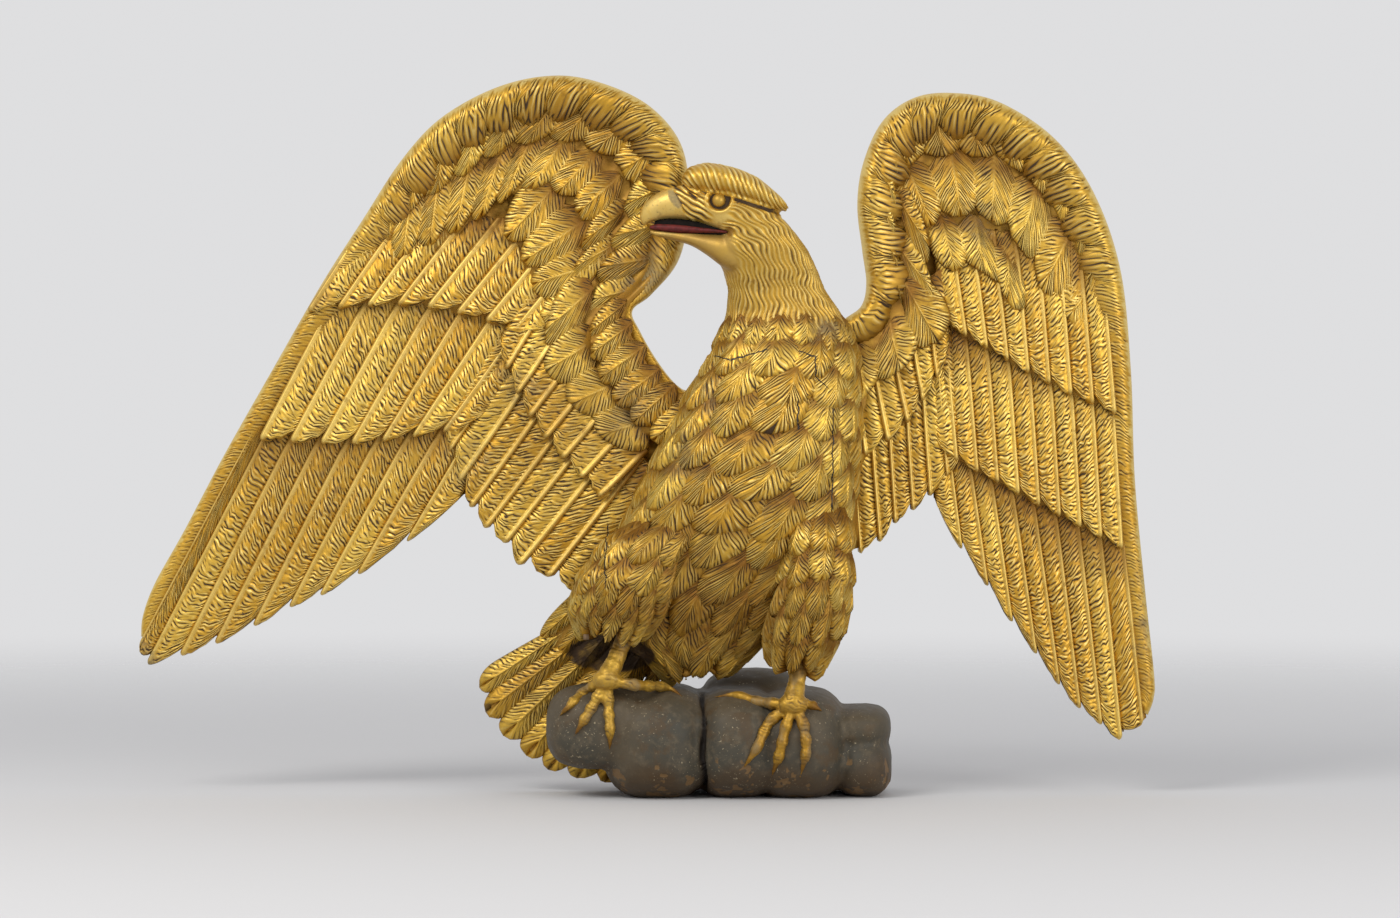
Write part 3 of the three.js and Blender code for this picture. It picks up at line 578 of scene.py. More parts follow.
def asMesh(piece):
    graph = bpy.context.evaluated_depsgraph_get()
    graph.update()
    made = bpy.data.meshes.new_from_object(piece.evaluated_get(graph))
    piece.modifiers.clear()
    old = piece.data
    piece.data = made
    bpy.data.meshes.remove(old)
    return made


# one skin over a heap of closed forms, softened
def skinned(bm, name, voxel, smoothing):
    bmesh.ops.recalc_face_normals(bm, faces=bm.faces)
    mesh = bpy.data.meshes.new(name)
    bm.to_mesh(mesh)
    bm.free()
    piece = bpy.data.objects.new(name, mesh)
    bpy.context.scene.collection.objects.link(piece)
    remesh = piece.modifiers.new("remesh", "REMESH")
    remesh.mode = "VOXEL"
    remesh.voxel_size = voxel
    soften = piece.modifiers.new("soften", "SMOOTH")
    soften.factor = 0.5
    soften.iterations = smoothing
    asMesh(piece)
    return piece


# moves each point of a skin along its normal; shape(co, normal) gives how far, and the four finish values
def carveSkin(piece, shape):
    mesh = piece.data
    names = ("cut", "deep", "tone", "worn")
    values = {name: [] for name in names}
    places = []
    for vert in mesh.vertices:
        co, normal = vert.co.copy(), vert.normal.copy()
        move, *finish = shape(co, normal)
        places.extend(co + (move if isinstance(move, Vector) else normal * move))
        for name, value in zip(names, finish):
            values[name].append(value)
    mesh.vertices.foreach_set("co", places)
    for name in names:
        mesh.attributes.new(name, "FLOAT", "POINT").data.foreach_set("value", values[name])
    mesh.update()


def settle(piece, material, slot, *nodeNames):
    piece.data.shade_smooth()
    piece.data.materials.clear()
    piece.data.materials.append(material)
    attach(piece, "root")
    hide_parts(*nodeNames)
    print(piece.name, len(piece.data.polygons) * 2, "triangles")


# a closed form wrapped on a ball's rings: ringAt(share) gives the centre and the two half widths as vectors
def addLoft(bm, rings, sides, ringAt, square=1.0):
    ball = bmesh.ops.create_uvsphere(bm, u_segments=sides, v_segments=rings, radius=1)["verts"]
    for vert in ball:
        down = math.acos(max(-1, min(1, vert.co.z))) / math.pi
        row = round(down * rings)
        turn = math.atan2(vert.co.y, vert.co.x)
        share = min(1, max(0, (row - 1) / (rings - 2)))
        centre, across, up = ringAt(share)
        if row in (0, rings):
            vert.co = centre
            continue
        c, s = math.cos(turn), math.sin(turn)
        vert.co = (centre + across * math.copysign(abs(c) ** square, c) + up * math.copysign(abs(s) ** square, s))


def neckBox(z):
    return sectionAt(bodySections, min(bodySections[0][0], z))


# the wood under the feathers: the frame's own form, softened and taken back a little where it is feathered
core = {"voxel": 0.0082, "smoothing": 8, "takeBack": 0.007, "headCentre": (0.165, -0.105, 0.965), "headShare": 0.6,
        "neckShrink": 0.016, "edgeShrink": 0.008, "under": 0.010, "underVane": 0.005}


# how far out a wing reaches at a height below its shoulder
def outerEdge(wing, z):
    places = wing["edge"][-8:]
    for (ax, az), (bx, bz) in zip(places, places[1:]):
        if z > bz:
            return mix(ax, bx, max(0, (az - z) / (az - bz)))
    return places[-1][0]


def makeCore(material):
    bm = bmesh.new()
    bm.from_mesh(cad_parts["eagle"].data)
    bmesh.ops.remove_doubles(bm, verts=bm.verts, dist=0.00002)
    mesh = bpy.data.meshes.new("eagle_core")
    bm.to_mesh(mesh)
    bm.free()
    piece = bpy.data.objects.new("eagle_core", mesh)
    bpy.context.scene.collection.objects.link(piece)
    remesh = piece.modifiers.new("remesh", "REMESH")
    remesh.mode = "VOXEL"
    remesh.voxel_size = core["voxel"]
    soften = piece.modifiers.new("soften", "SMOOTH")
    soften.factor = 0.5
    soften.iterations = core["smoothing"]
    asMesh(piece)
    centre = Vector(core["headCentre"])

    def shape(co, normal):
        move = Vector((0, core["takeBack"] * max(0, -normal.y), 0))
        inHead = smooth(0.85, 0.885, co.z) * smooth(-0.045, -0.06, co.y) * smooth(-0.03, -0.015, co.x)
        inHead *= smooth(0.34, 0.32, co.x)
        move += (centre - co) * core["headShare"] * inHead
        left, right, near, far = neckBox(co.z)
        inNeck = smooth(0.735, 0.765, co.z) * smooth(0.885, 0.85, co.z) * smooth(far + 0.03, far, co.y)
        inNeck *= smooth(left - 0.02, left - 0.012, co.x) * smooth(right + 0.02, right + 0.012, co.x)
        move -= normal * core["neckShrink"] * inNeck
        outside = max(smooth(left, left - 0.04, co.x), smooth(right, right + 0.04, co.x), smooth(0.3, 0.26, co.z))
        move -= Vector((normal.x, 0, normal.z)) * core["edgeShrink"] * outside
        forms = (bodySections, leftThighSections, rightThighSections)
        moves = [m for m in (moveUnder(co + move, sections, core["under"]) for sections in forms) if m is not None]
        if moves:
            move += min(moves, key=lambda m: m.length) * smooth(-0.04, -0.06, co.y)
        for wing in (leftWing, rightWing):
            beside = abs(co.x - outerEdge(wing, co.z))
            share = smooth(0.062, 0.046, beside) * smooth(0.83, 0.79, co.z)
            move.y += max(0, sweepBack(co.x) - core["underVane"] - co.y - move.y) * share
        spill = smooth(0.70, 0.74, co.z + noise.noise(co * 22) * 0.03) * smooth(left - 0.03, left, co.x)
        spill *= smooth(right + 0.03, right, co.x)
        plain = smooth(0.0, 0.5, normal.y) * (1 - spill)
        shade = smooth(0.1, -0.5, normal.y) * 0.8
        return move, max(0.42, skirtShadowAt(co)), shade, mix(0.4, bareTone, plain), wornAt(co) * 0.5

    carveSkin(piece, shape)
    settle(piece, material, "gilded_wood", "eagle")


# the head seen from its side: (x, top, bottom, half depth) of each part
head = {
    "depth": -0.105,
    "voxel": 0.0019,
    "upperBeak": [(-0.010, 0.974, 0.961, 0.005), (-0.004, 0.985, 0.951, 0.010), (0.008, 0.997, 0.956, 0.016),
                  (0.028, 1.009, 0.961, 0.022), (0.050, 1.015, 0.961, 0.026), (0.078, 1.016, 0.957, 0.031),
                  (0.104, 1.008, 0.951, 0.037), (0.132, 1.000, 0.941, 0.042)],
    "jaw": [(0.006, 0.944, 0.938, 0.004), (0.020, 0.942, 0.932, 0.010), (0.046, 0.939, 0.926, 0.016),
            (0.075, 0.938, 0.917, 0.021), (0.100, 0.937, 0.902, 0.028), (0.127, 0.938, 0.882, 0.034),
            (0.150, 0.938, 0.872, 0.033), (0.178, 0.930, 0.880, 0.016)],
    "skull": [(0.080, 1.012, 0.958, 0.030), (0.104, 1.026, 0.947, 0.042), (0.130, 1.032, 0.932, 0.048),
              (0.160, 1.028, 0.905, 0.051), (0.190, 1.012, 0.900, 0.049), (0.210, 0.994, 0.905, 0.038),
              (0.220, 0.976, 0.925, 0.014)],
    "crest": [(0.060, 1.032, 1.020, 0.018), (0.070, 1.045, 1.012, 0.033), (0.088, 1.052, 1.006, 0.044),
              (0.110, 1.053, 1.001, 0.056), (0.134, 1.048, 0.997, 0.061), (0.158, 1.041, 0.990, 0.063),
              (0.184, 1.029, 0.982, 0.060), (0.206, 1.011, 0.976, 0.048), (0.221, 0.998, 0.974, 0.030),
              (0.230, 0.989, 0.975, 0.014), (0.235, 0.983, 0.977, 0.004)],
    "eye": (0.1205, 0.990),
    "eyeRadius": 0.0112,
    "mouthCorner": (0.134, 0.939),
    "strandStep": 0.0074,
    "strandDepth": 0.0016,
    "strandCentre": (0.0995, 0.8495),
    "crestSlant": 0.0200,
    "crestStep": 0.0094,
    "crestDepth": 0.0016,
}


def profileAt(stations, share):
    x, top, bottom, deep = splineAt(stations, share)
    return Vector((x, head["depth"], (top + bottom) / 2)), Vector((0, deep, 0)), Vector((0, 0, (top - bottom) / 2))


# the upper and lower edge of a part at one place along it
def edgesAt(stations, x):
    for a, b in zip(stations, stations[1:]):
        if x <= b[0]:
            share = max(0, (x - a[0]) / (b[0] - a[0]))
            return mix(a[1], b[1], share), mix(a[2], b[2], share)
    return stations[-1][1:3]


# across the strands of the cheek and neck, in metres: rings round a centre that run on down the neck
def acrossStrands(co):
    cx, cz = head["strandCentre"]
    left, right, near, far = neckBox(min(co.z, 0.985))
    mid, half = (left + right) / 2, (right - left) / 2
    angle = math.atan2(((near + far) / 2 - co.y) / ((far - near) / 2), (co.x - mid) / half)
    if angle < -math.pi / 2:
        angle += 2 * math.pi
    developed = mid + half * (math.pi / 2 - angle)
    aside = smooth(0.35, 0.9, abs(math.cos(angle)))
    x = mix(co.x, mix(co.x, developed, aside), smooth(0.98, 0.93, co.z))
    if co.z > cz:
        return math.hypot(x - cx, co.z - cz)
    topLeft, topRight, *rest = neckBox(cz)
    return (x - left) * (topRight - topLeft) / (right - left) + topLeft - cx


def makeHead(material):
    bm = bmesh.new()
    for name in ("upperBeak", "jaw", "skull", "crest"):
        addLoft(bm, 34, 32, lambda share, name=name: profileAt(head[name], share), 0.9)

    def neckRing(share):
        z = mix(0.978, 0.715, share)
        left, right, near, far = neckBox(z)
        swell = mix(0.0015, -0.016, smooth(0.782, 0.718, z))
        return (Vector(((left + right) / 2, (near + far) / 2, z)), Vector(((right - left) / 2 + swell, 0, 0)),
                Vector((0, (far - near) / 2 + swell, 0)))

    addLoft(bm, 40, 40, neckRing, 0.85)
    piece = skinned(bm, "head", head["voxel"], 5)
    eyeX, eyeZ = head["eye"]

    def shape(co, normal):
        x, z = co.x, co.z
        side = math.copysign(1, co.y - head["depth"])
        flank = smooth(0.2, 0.6, abs(normal.y))
        upper, edge = edgesAt(head["crest"], x)
        onCrest = smooth(edge - 0.001, edge + 0.003, z) * smooth(0.056, 0.062, x) * smooth(0.236, 0.231, x)
        cere = 0.043 + (1.015 - z) * 0.48
        onBeak = smooth(cere + 0.002, cere - 0.002, x) * smooth(0.947, 0.951, z)
        onJaw = smooth(0.130, 0.110, x) * smooth(0.955, 0.945, z)
        lore = (1 - onCrest) * (1 - onBeak) * smooth(0.116, 0.096, x) * smooth(0.952, 0.960, z)
        throat = smooth(0.165, 0.140, x + (z - 0.9) * 0.25) * smooth(0.845, 0.885, z) * smooth(0.95, 0.93, z)
        strands = (1 - onCrest) * (1 - onJaw) * (1 - throat) * smooth(0.120, 0.140, x) if z > 0.88 else 1 - throat * 0.9
        if z > 0.955 and x < 0.16:
            strands *= smooth(0.128, 0.150, x)
        strands *= smooth(0.728, 0.765, z)
        move, cut, deep, worn = 0, 0.25, 0, wornAt(co)
        # strands
        across = acrossStrands(co)
        wave = noise.noise(Vector((x * 26, co.y * 26, z * 20))) * 0.0055
        wave += math.sin(z * 185 + across * 45 + noise.noise(Vector((x * 14, z * 10, 5))) * 7) * 0.0021
        strength = min(1, max(0.35, noise.noise(Vector((across * 150, co.y * 25, z * 28))) * 1.5 + 0.80))
        ridge = math.cos((across + wave) / head["strandStep"] * 2 * math.pi) * strength
        ridge = math.copysign(abs(ridge) ** 0.8, ridge)
        move += ridge * head["strandDepth"] * strands
        cut = mix(cut, 0.40 - 0.36 * ridge, strands)
        # the crest's slanted strokes
        down = math.atan2(abs(co.y - head["depth"]), z - (upper + edge) / 2)
        line = x - head["crestSlant"] * down + noise.noise(Vector((x * 45, co.y * 30, z * 45))) * 0.0030
        strength = min(1, max(0.2, noise.noise(Vector((line * 110, x * 30, co.y * 30))) * 1.5 + 0.8))
        ridge = math.cos(line / head["crestStep"] * 2 * math.pi) * strength
        move += ridge * head["crestDepth"] * onCrest
        cut = mix(cut, 0.36 - 0.40 * ridge, onCrest)
        # a groove under the crest, darkened with painted shadow
        under = flank * smooth(0.0062, 0.0015, abs(z - edge + 0.002)) * smooth(0.066, 0.08, x) * smooth(0.236, 0.225, x)
        move -= 0.003 * under
        cut = max(cut, 0.95 * under)
        # folds before the eye, the nostril and the edge of the cere; the nostril and the cere's edge are darkened with
        # painted shade
        fold = math.cos((x * 0.55 + z * 0.85) / 0.0085 * 2 * math.pi + noise.noise(co * 60) * 2)
        move += 0.0011 * fold * lore
        cut = mix(cut, 0.42 - 0.42 * fold, lore)
        along = ((x - 0.070) * 0.75 - (z - 1.006) * 0.66) / 0.019
        aside = (x - 0.070) * 0.66 + (z - 1.006) * 0.75
        nostril = flank * smooth(0.0028, 0.0008, abs(aside)) * smooth(-0.1, 0.15, along) * smooth(1.1, 0.85, along)
        step = smooth(0.003, 0.0005, abs(x - cere)) * smooth(0.965, 0.975, z) * smooth(1.012, 1.004, z)
        move -= 0.0032 * nostril + 0.0012 * step * flank
        cut = max(cut, nostril, 0.75 * step * flank)
        patch = smooth(1.2, 0.6, math.hypot((x - cere + 0.006) / 0.010, (z - 0.993) / 0.018)) * flank
        worn = max(worn, patch)
        # the eye's socket with its lids, the socket darkened with painted shade
        far = math.hypot(x - eyeX, (z - eyeZ) * 1.08)
        socket = flank * smooth(0.0200, 0.0160, far) * (1 - 0.7 * onCrest)
        lids = flank * math.exp(-((far - 0.0225) / 0.0026) ** 2) * (1 - onCrest)
        move = mix(move, 0.0011, lids)
        cut = mix(cut, 0.30, lids)
        move = mix(move, -0.008, socket)
        cut = max(cut, socket)
        # the lips
        lipZ = 0.9385
        lip = flank * smooth(0.0045, 0.0015, abs(z - lipZ + 0.0015)) * smooth(0.140, 0.128, x) * smooth(0.0, 0.02, x)
        move = mix(move, 0.0012, lip)
        cut = mix(cut, 0.1, lip)
        # painted shade in the mouth's corners; the jaw, the throat, the lower neck and the strands are made deeper
        # amber
        cornerShade = flank * smooth(0.010, 0.004, math.hypot(x - 0.137, (z - 0.9385) * 0.8))
        move -= 0.002 * cornerShade
        deep = max(deep, cornerShade, 0.55 * onJaw, 0.6 * throat, 0.2 * smooth(0.79, 0.75, z), 0.35 * strands)
        return normal * move, cut, deep, 0.55, worn

    carveSkin(piece, shape)
    settle(piece, material, "gilded_wood", "eagle")


def makeEyes(material):
    bm = bmesh.new()
    cut, deep, *rest = featherLayers(bm)
    for side in (-1, 1):
        ball = bmesh.ops.create_uvsphere(bm, u_segments=28, v_segments=18, radius=head["eyeRadius"])["verts"]
        place = Vector((head["eye"][0], head["depth"] + side * 0.0375, head["eye"][1]))
        for vert in ball:
            vert.co += place
            vert[cut] = 0.36
            vert[deep] = 0.45
    pieceFrom(bm, "eyes", material, "eagle")


def makeMouth(tongueMaterial, shadeMaterial):
    tongue = [(0.006, 0.950, 0.945, 0.005), (0.022, 0.954, 0.941, 0.012), (0.050, 0.954, 0.937, 0.017),
              (0.085, 0.950, 0.936, 0.022), (0.134, 0.942, 0.935, 0.034)]
    # a near-black sheet inside the open mouth, standing for its shade
    mouthShade = [(0.014, 0.958, 0.942, 0.004), (0.030, 0.962, 0.938, 0.010), (0.060, 0.962, 0.936, 0.014),
              (0.095, 0.957, 0.932, 0.020), (0.140, 0.948, 0.930, 0.032)]
    for name, stations, material in (("tongue", tongue, tongueMaterial), ("mouth_shade", mouthShade, shadeMaterial)):
        bm = bmesh.new()
        addLoft(bm, 24, 20, lambda share: profileAt(stations, share))
        pieceFrom(bm, name, material, "eagle")


tail = {
    "depth": 0.062,
    "roots": [(-0.030, 0.345), (0.000, 0.300), (0.045, 0.270)],
    "tips": [(-0.286, 0.176), (-0.276, 0.134), (-0.245, 0.094), (-0.206, 0.060), (-0.169, 0.036),
             (-0.120, 0.022), (-0.072, 0.014)],
    "coverRoots": [(-0.050, 0.380), (0.030, 0.300)],
    "coverTips": [(-0.180, 0.262), (-0.060, 0.150)],
}


def makeTail(material):
    bm = bmesh.new()
    layers = featherLayers(bm)
    rows = ((tail["roots"], tail["tips"], 7, "tail", 0.014, 0.000, 0.016),
            (tail["coverRoots"], tail["coverTips"], 5, "shaggy", 0.034, 0.014, 0.020))
    for index, (rootPoints, tipPoints, count, kind, rootRise, tipRise, thick) in enumerate(rows):
        roots, tips = rowLine(rootPoints, count), rowLine(tipPoints, count)

        def place(position, v):
            (rx, rz), (tx, tz) = roots(position), tips(position)
            return Vector((mix(rx, tx, v), tail["depth"] - mix(rootRise, tipRise, v), mix(rz, tz, v))), front

        for i in range(count):
            root, tip = place(i, 0)[0], place(i, 1)[0]
            width = (place(i + 0.5, 1)[0] - place(i - 0.5, 1)[0]).length
            addFeather(bm, kind, lambda side, v: place(i + side, v), (tip - root).length, width,
                       700 + index * 50 + i * 1.3, layers,
                       lambda co: Vector((co.x, max(co.y + 0.012, tail["depth"] + thick * 0.5), co.z)))
    pieceFrom(bm, "tail_feathers", material, "eagle")


# boulders of the rock: (x, z, y, half width, half height, half depth)
rock = {
    "lobes": [
        (0.120, 0.092, 0.030, 0.208, 0.084, 0.150), (-0.078, 0.118, -0.024, 0.092, 0.073, 0.108),
        (0.018, 0.090, 0.030, 0.094, 0.099, 0.176), (0.152, 0.088, 0.034, 0.080, 0.097, 0.176),
        (0.252, 0.086, 0.036, 0.088, 0.096, 0.178), (0.182, 0.120, 0.092, 0.100, 0.090, 0.108),
        (0.356, 0.114, 0.024, 0.057, 0.038, 0.120), (0.362, 0.052, 0.028, 0.052, 0.056, 0.130),
    ],
    "squareness": 2.9,
    "back": 0.190,
    "voxel": 0.0046,
    "seam": 0.0935,
    "seamDepth": 0.014,
}


def makeRock(material):
    bm = bmesh.new()
    power = 2 / rock["squareness"]
    for x, z, y, wide, high, deep in rock["lobes"]:
        ball = bmesh.ops.create_uvsphere(bm, u_segments=56, v_segments=36, radius=1)["verts"]
        for vert in ball:
            ring = math.hypot(vert.co.x, vert.co.y)
            c, s = (vert.co.x / ring, vert.co.y / ring) if ring > 1e-6 else (0, 0)
            ring = min(1, ring)

            def squared(value):
                return math.copysign(abs(value) ** power, value)

            vert.co = Vector((x + wide * squared(ring * c), y + deep * squared(ring * s), z + high * squared(vert.co.z)))
    piece = skinned(bm, "rock", rock["voxel"], 4)

    def shape(co, normal):
        broad = noise.fractal(co * 9, 1.0, 2.0, 3) * 0.0022
        fine = noise.fractal(co * 55, 1.0, 2.0, 3) * 0.0006
        chips = noise.noise(co * 34 + Vector((7, 3, 1))) + 0.5 * noise.noise(co * 110) + smooth(0.05, 0.01, co.z) * 0.3
        chips = smooth(0.35, 0.6, chips)
        bite = chips * 0.0018 * smooth(0.09, 0.03, co.z)
        place = co + normal * (broad + fine - bite - 0.0022)
        place.z = max(0, place.z)
        place.y = min(rock["back"], place.y)
        low = smooth(0.075, 0.02, co.z + noise.noise(co * 14) * 0.05)
        # the seam between the boulders is carved and darkened near black with painted shade
        seam = smooth(0.0052, 0.001, abs(co.x - rock["seam"] - 0.0012 * math.sin(co.z * 60))) * smooth(0.0, -0.05, co.y)
        place -= normal * rock["seamDepth"] * seam
        place.z = max(0, place.z)
        return place - co, seam, max(seam, low * 0.75), 0.5, max(chips * smooth(0.10, 0.04, co.z), 0)

    carveSkin(piece, shape)
    settle(piece, material, "painted_rock", "rock_base")
    return piece


# the legs: the shank's stations, and the toes as seen from the front, from the foot to the claws' points
legs = {
    "shankRadius": 0.0145,
    "toeRadius": 0.0091,
    "voxel": 0.0019,
    "leg_left": {
        "shank": [(-0.020, -0.082, 0.318), (-0.030, -0.092, 0.284), (-0.047, -0.108, 0.239), (-0.064, -0.124, 0.204)],
        "toes": [[(-0.096, 0.182), (-0.128, 0.155), (-0.145, 0.137)],
                 [(-0.086, 0.160), (-0.108, 0.124), (-0.119, 0.106)],
                 [(-0.062, 0.160), (-0.059, 0.118), (-0.060, 0.081)],
                 [(-0.014, 0.191), (0.034, 0.184), (0.062, 0.168)]],
    },
    "leg_right": {
        "shank": [(0.262, -0.098, 0.292), (0.256, -0.104, 0.245), (0.250, -0.116, 0.200), (0.243, -0.132, 0.164)],
        "toes": [[(0.204, 0.130), (0.183, 0.088), (0.158, 0.051)],
                 [(0.230, 0.120), (0.220, 0.078), (0.207, 0.038)],
                 [(0.259, 0.128), (0.264, 0.084), (0.254, 0.038)],
                 [(0.186, 0.162), (0.146, 0.172), (0.112, 0.168)],
                 [(0.268, 0.158), (0.284, 0.152), (0.292, 0.146)]],
    },
}


# a round limb along a line of points in space
def addLimb(bm, points, radiusAt, rings, sides):
    at = evenLine(points, 60)

    def ringAt(share):
        centre = Vector(at(share))
        along = (Vector(at(share + 0.02)) - Vector(at(share - 0.02))).normalized()
        across = along.cross(Vector((0.1, -1, 0.15))).normalized()
        radius = radiusAt(share)
        return centre, across * radius, across.cross(along) * radius

    addLoft(bm, rings, sides, ringAt)


def toeRadiusAt(share):
    knuckles = 0.26 * sum(math.exp(-((share - place) / 0.055) ** 2) for place in (0.28, 0.48, 0.67))
    toe = 1.02 - 0.34 * share + knuckles
    claw = 0.62 * (1 - ((share - 0.74) / 0.26) ** 1.2) if share > 0.74 else 1
    return legs["toeRadius"] * max(0.12, mix(toe, claw, smooth(0.73, 0.79, share)))


def makeLeg(name, rockTree, material):
    form = legs[name]
    foot = Vector(form["shank"][-1])
    bm = bmesh.new()

    def shankRadius(share):
        return legs["shankRadius"] * (1 + 0.22 * smooth(0.7, 1, share) + 0.03 * math.sin(share * 40))

    addLimb(bm, form["shank"], shankRadius, 30, 20)
    addLimb(bm, [foot + Vector((-0.020, 0.004, -0.007)), foot + Vector((0, -0.002, -0.004)),
                 foot + Vector((0.020, 0.004, -0.007))], lambda share: 0.0125 + 0.005 * math.sin(share * math.pi), 12, 16)
    for places in form["toes"]:
        points = [foot + Vector((0, 0.002, -0.006))]
        for i, (x, z) in enumerate(places):
            hit = rockTree.ray_cast(Vector((x, -1, z)), Vector((0, 1, 0)))[0]
            depth = hit.y if hit else foot.y
            points.append(Vector((x, min(depth - legs["toeRadius"] * (0.5, 0.55, 0.1)[i], foot.y + 0.05), z)))
        addLimb(bm, points, toeRadiusAt, 44, 14)
    piece = skinned(bm, "cast_" + name, legs["voxel"], 2)

    def shape(co, normal):
        scutes = math.sin((co.z * 0.8 + co.x * 0.3) / 0.0060 * 2 * math.pi + noise.noise(co * 70) * 5)
        scutes *= smooth(-0.25, 0.35, noise.noise(co * 38 + Vector((3, 9, 4))))
        rough = noise.fractal(co * 90, 1.0, 2.0, 3) * 0.0009
        nearClaw = min(math.hypot(co.x - places[-1][0], co.z - places[-1][1]) for places in form["toes"])
        claw = smooth(0.042, 0.014, nearClaw)
        shank = smooth(foot.z + 0.015, foot.z + 0.05, co.z)
        rubbed = smooth(0.1, 0.5, noise.noise(co * 28) + 0.15)
        move = rough + 0.00035 * scutes * (1 - claw)
        cut = mix(0.50 - 0.16 * scutes - 120 * rough, 0.60, max(claw, 0.5 * shank))
        deep = max(claw, 0.8 * shank, 0.40 + 0.45 * rubbed)
        return normal * move, cut, deep, 0.3, min(1, 0.36 + 0.35 * rubbed) * (1 - 0.6 * claw)

    carveSkin(piece, shape)
    settle(piece, material, "gilded_iron", name)


def newMaterial(name):
    material = bpy.data.materials.new(name)
    material.use_nodes = True
    nodes = material.node_tree.nodes
    return material, nodes, material.node_tree.links, nodes["Principled BSDF"]


def addNode(tree, kind, inputs=None, **settings):
    node = tree.nodes.new(kind)
    for name, value in settings.items():
        setattr(node, name, value)
    for name, value in (inputs or {}).items():
        if isinstance(value, bpy.types.NodeSocket):
            tree.links.new(value, node.inputs[name])
        else:
            node.inputs[name].default_value = value
    return node


def addNoise(tree, vector, scale, detail=3.0, roughness=0.5):
    node = addNode(tree, "ShaderNodeTexNoise", {"Vector": vector, "Scale": scale, "Detail": detail,
                                                "Roughness": roughness})
    return node.outputs["Fac"]


def addStep(tree, value, low, high, bottom=0.0, top=1.0):
    node = addNode(tree, "ShaderNodeMapRange", {"Value": value, "From Min": low, "From Max": high,
                                                "To Min": bottom, "To Max": top}, interpolation_type="SMOOTHSTEP")
    return node.outputs["Result"]


def addMath(tree, operation, a, b):
    node = addNode(tree, "ShaderNodeMath", {0: a, 1: b}, operation=operation)
    return node.outputs[0]


def addBlend(tree, share, a, b):
    node = addNode(tree, "ShaderNodeMix", {0: share, 6: a, 7: b}, data_type="RGBA")
    return node.outputs[2]


# how old leaf gilding shows: pale on the ridges (painted highlight, partly rubbed), near black in the cuts (dirt and
# painted shade), amber in the hollows (painted shade, partly dirt), grey where worn
gilding = {
    "leaf": (0.66, 0.42, 0.060, 1),
    "leafDeep": (0.50, 0.27, 0.022, 1),
    # painted highlight on the ridges, partly rubbed gilding
    "ridge": (0.90, 0.72, 0.26, 1),
    # near black in the cuts: dirt and painted shade
    "cut": (0.036, 0.015, 0.001, 1),
    # amber in the hollows: painted shade, partly dirt
    "hollowShadeAndDirt": (0.215, 0.090, 0.003, 1),
    "worn": (0.235, 0.175, 0.075, 1),
    "groundShows": (0.230, 0.110, 0.012, 1),
}


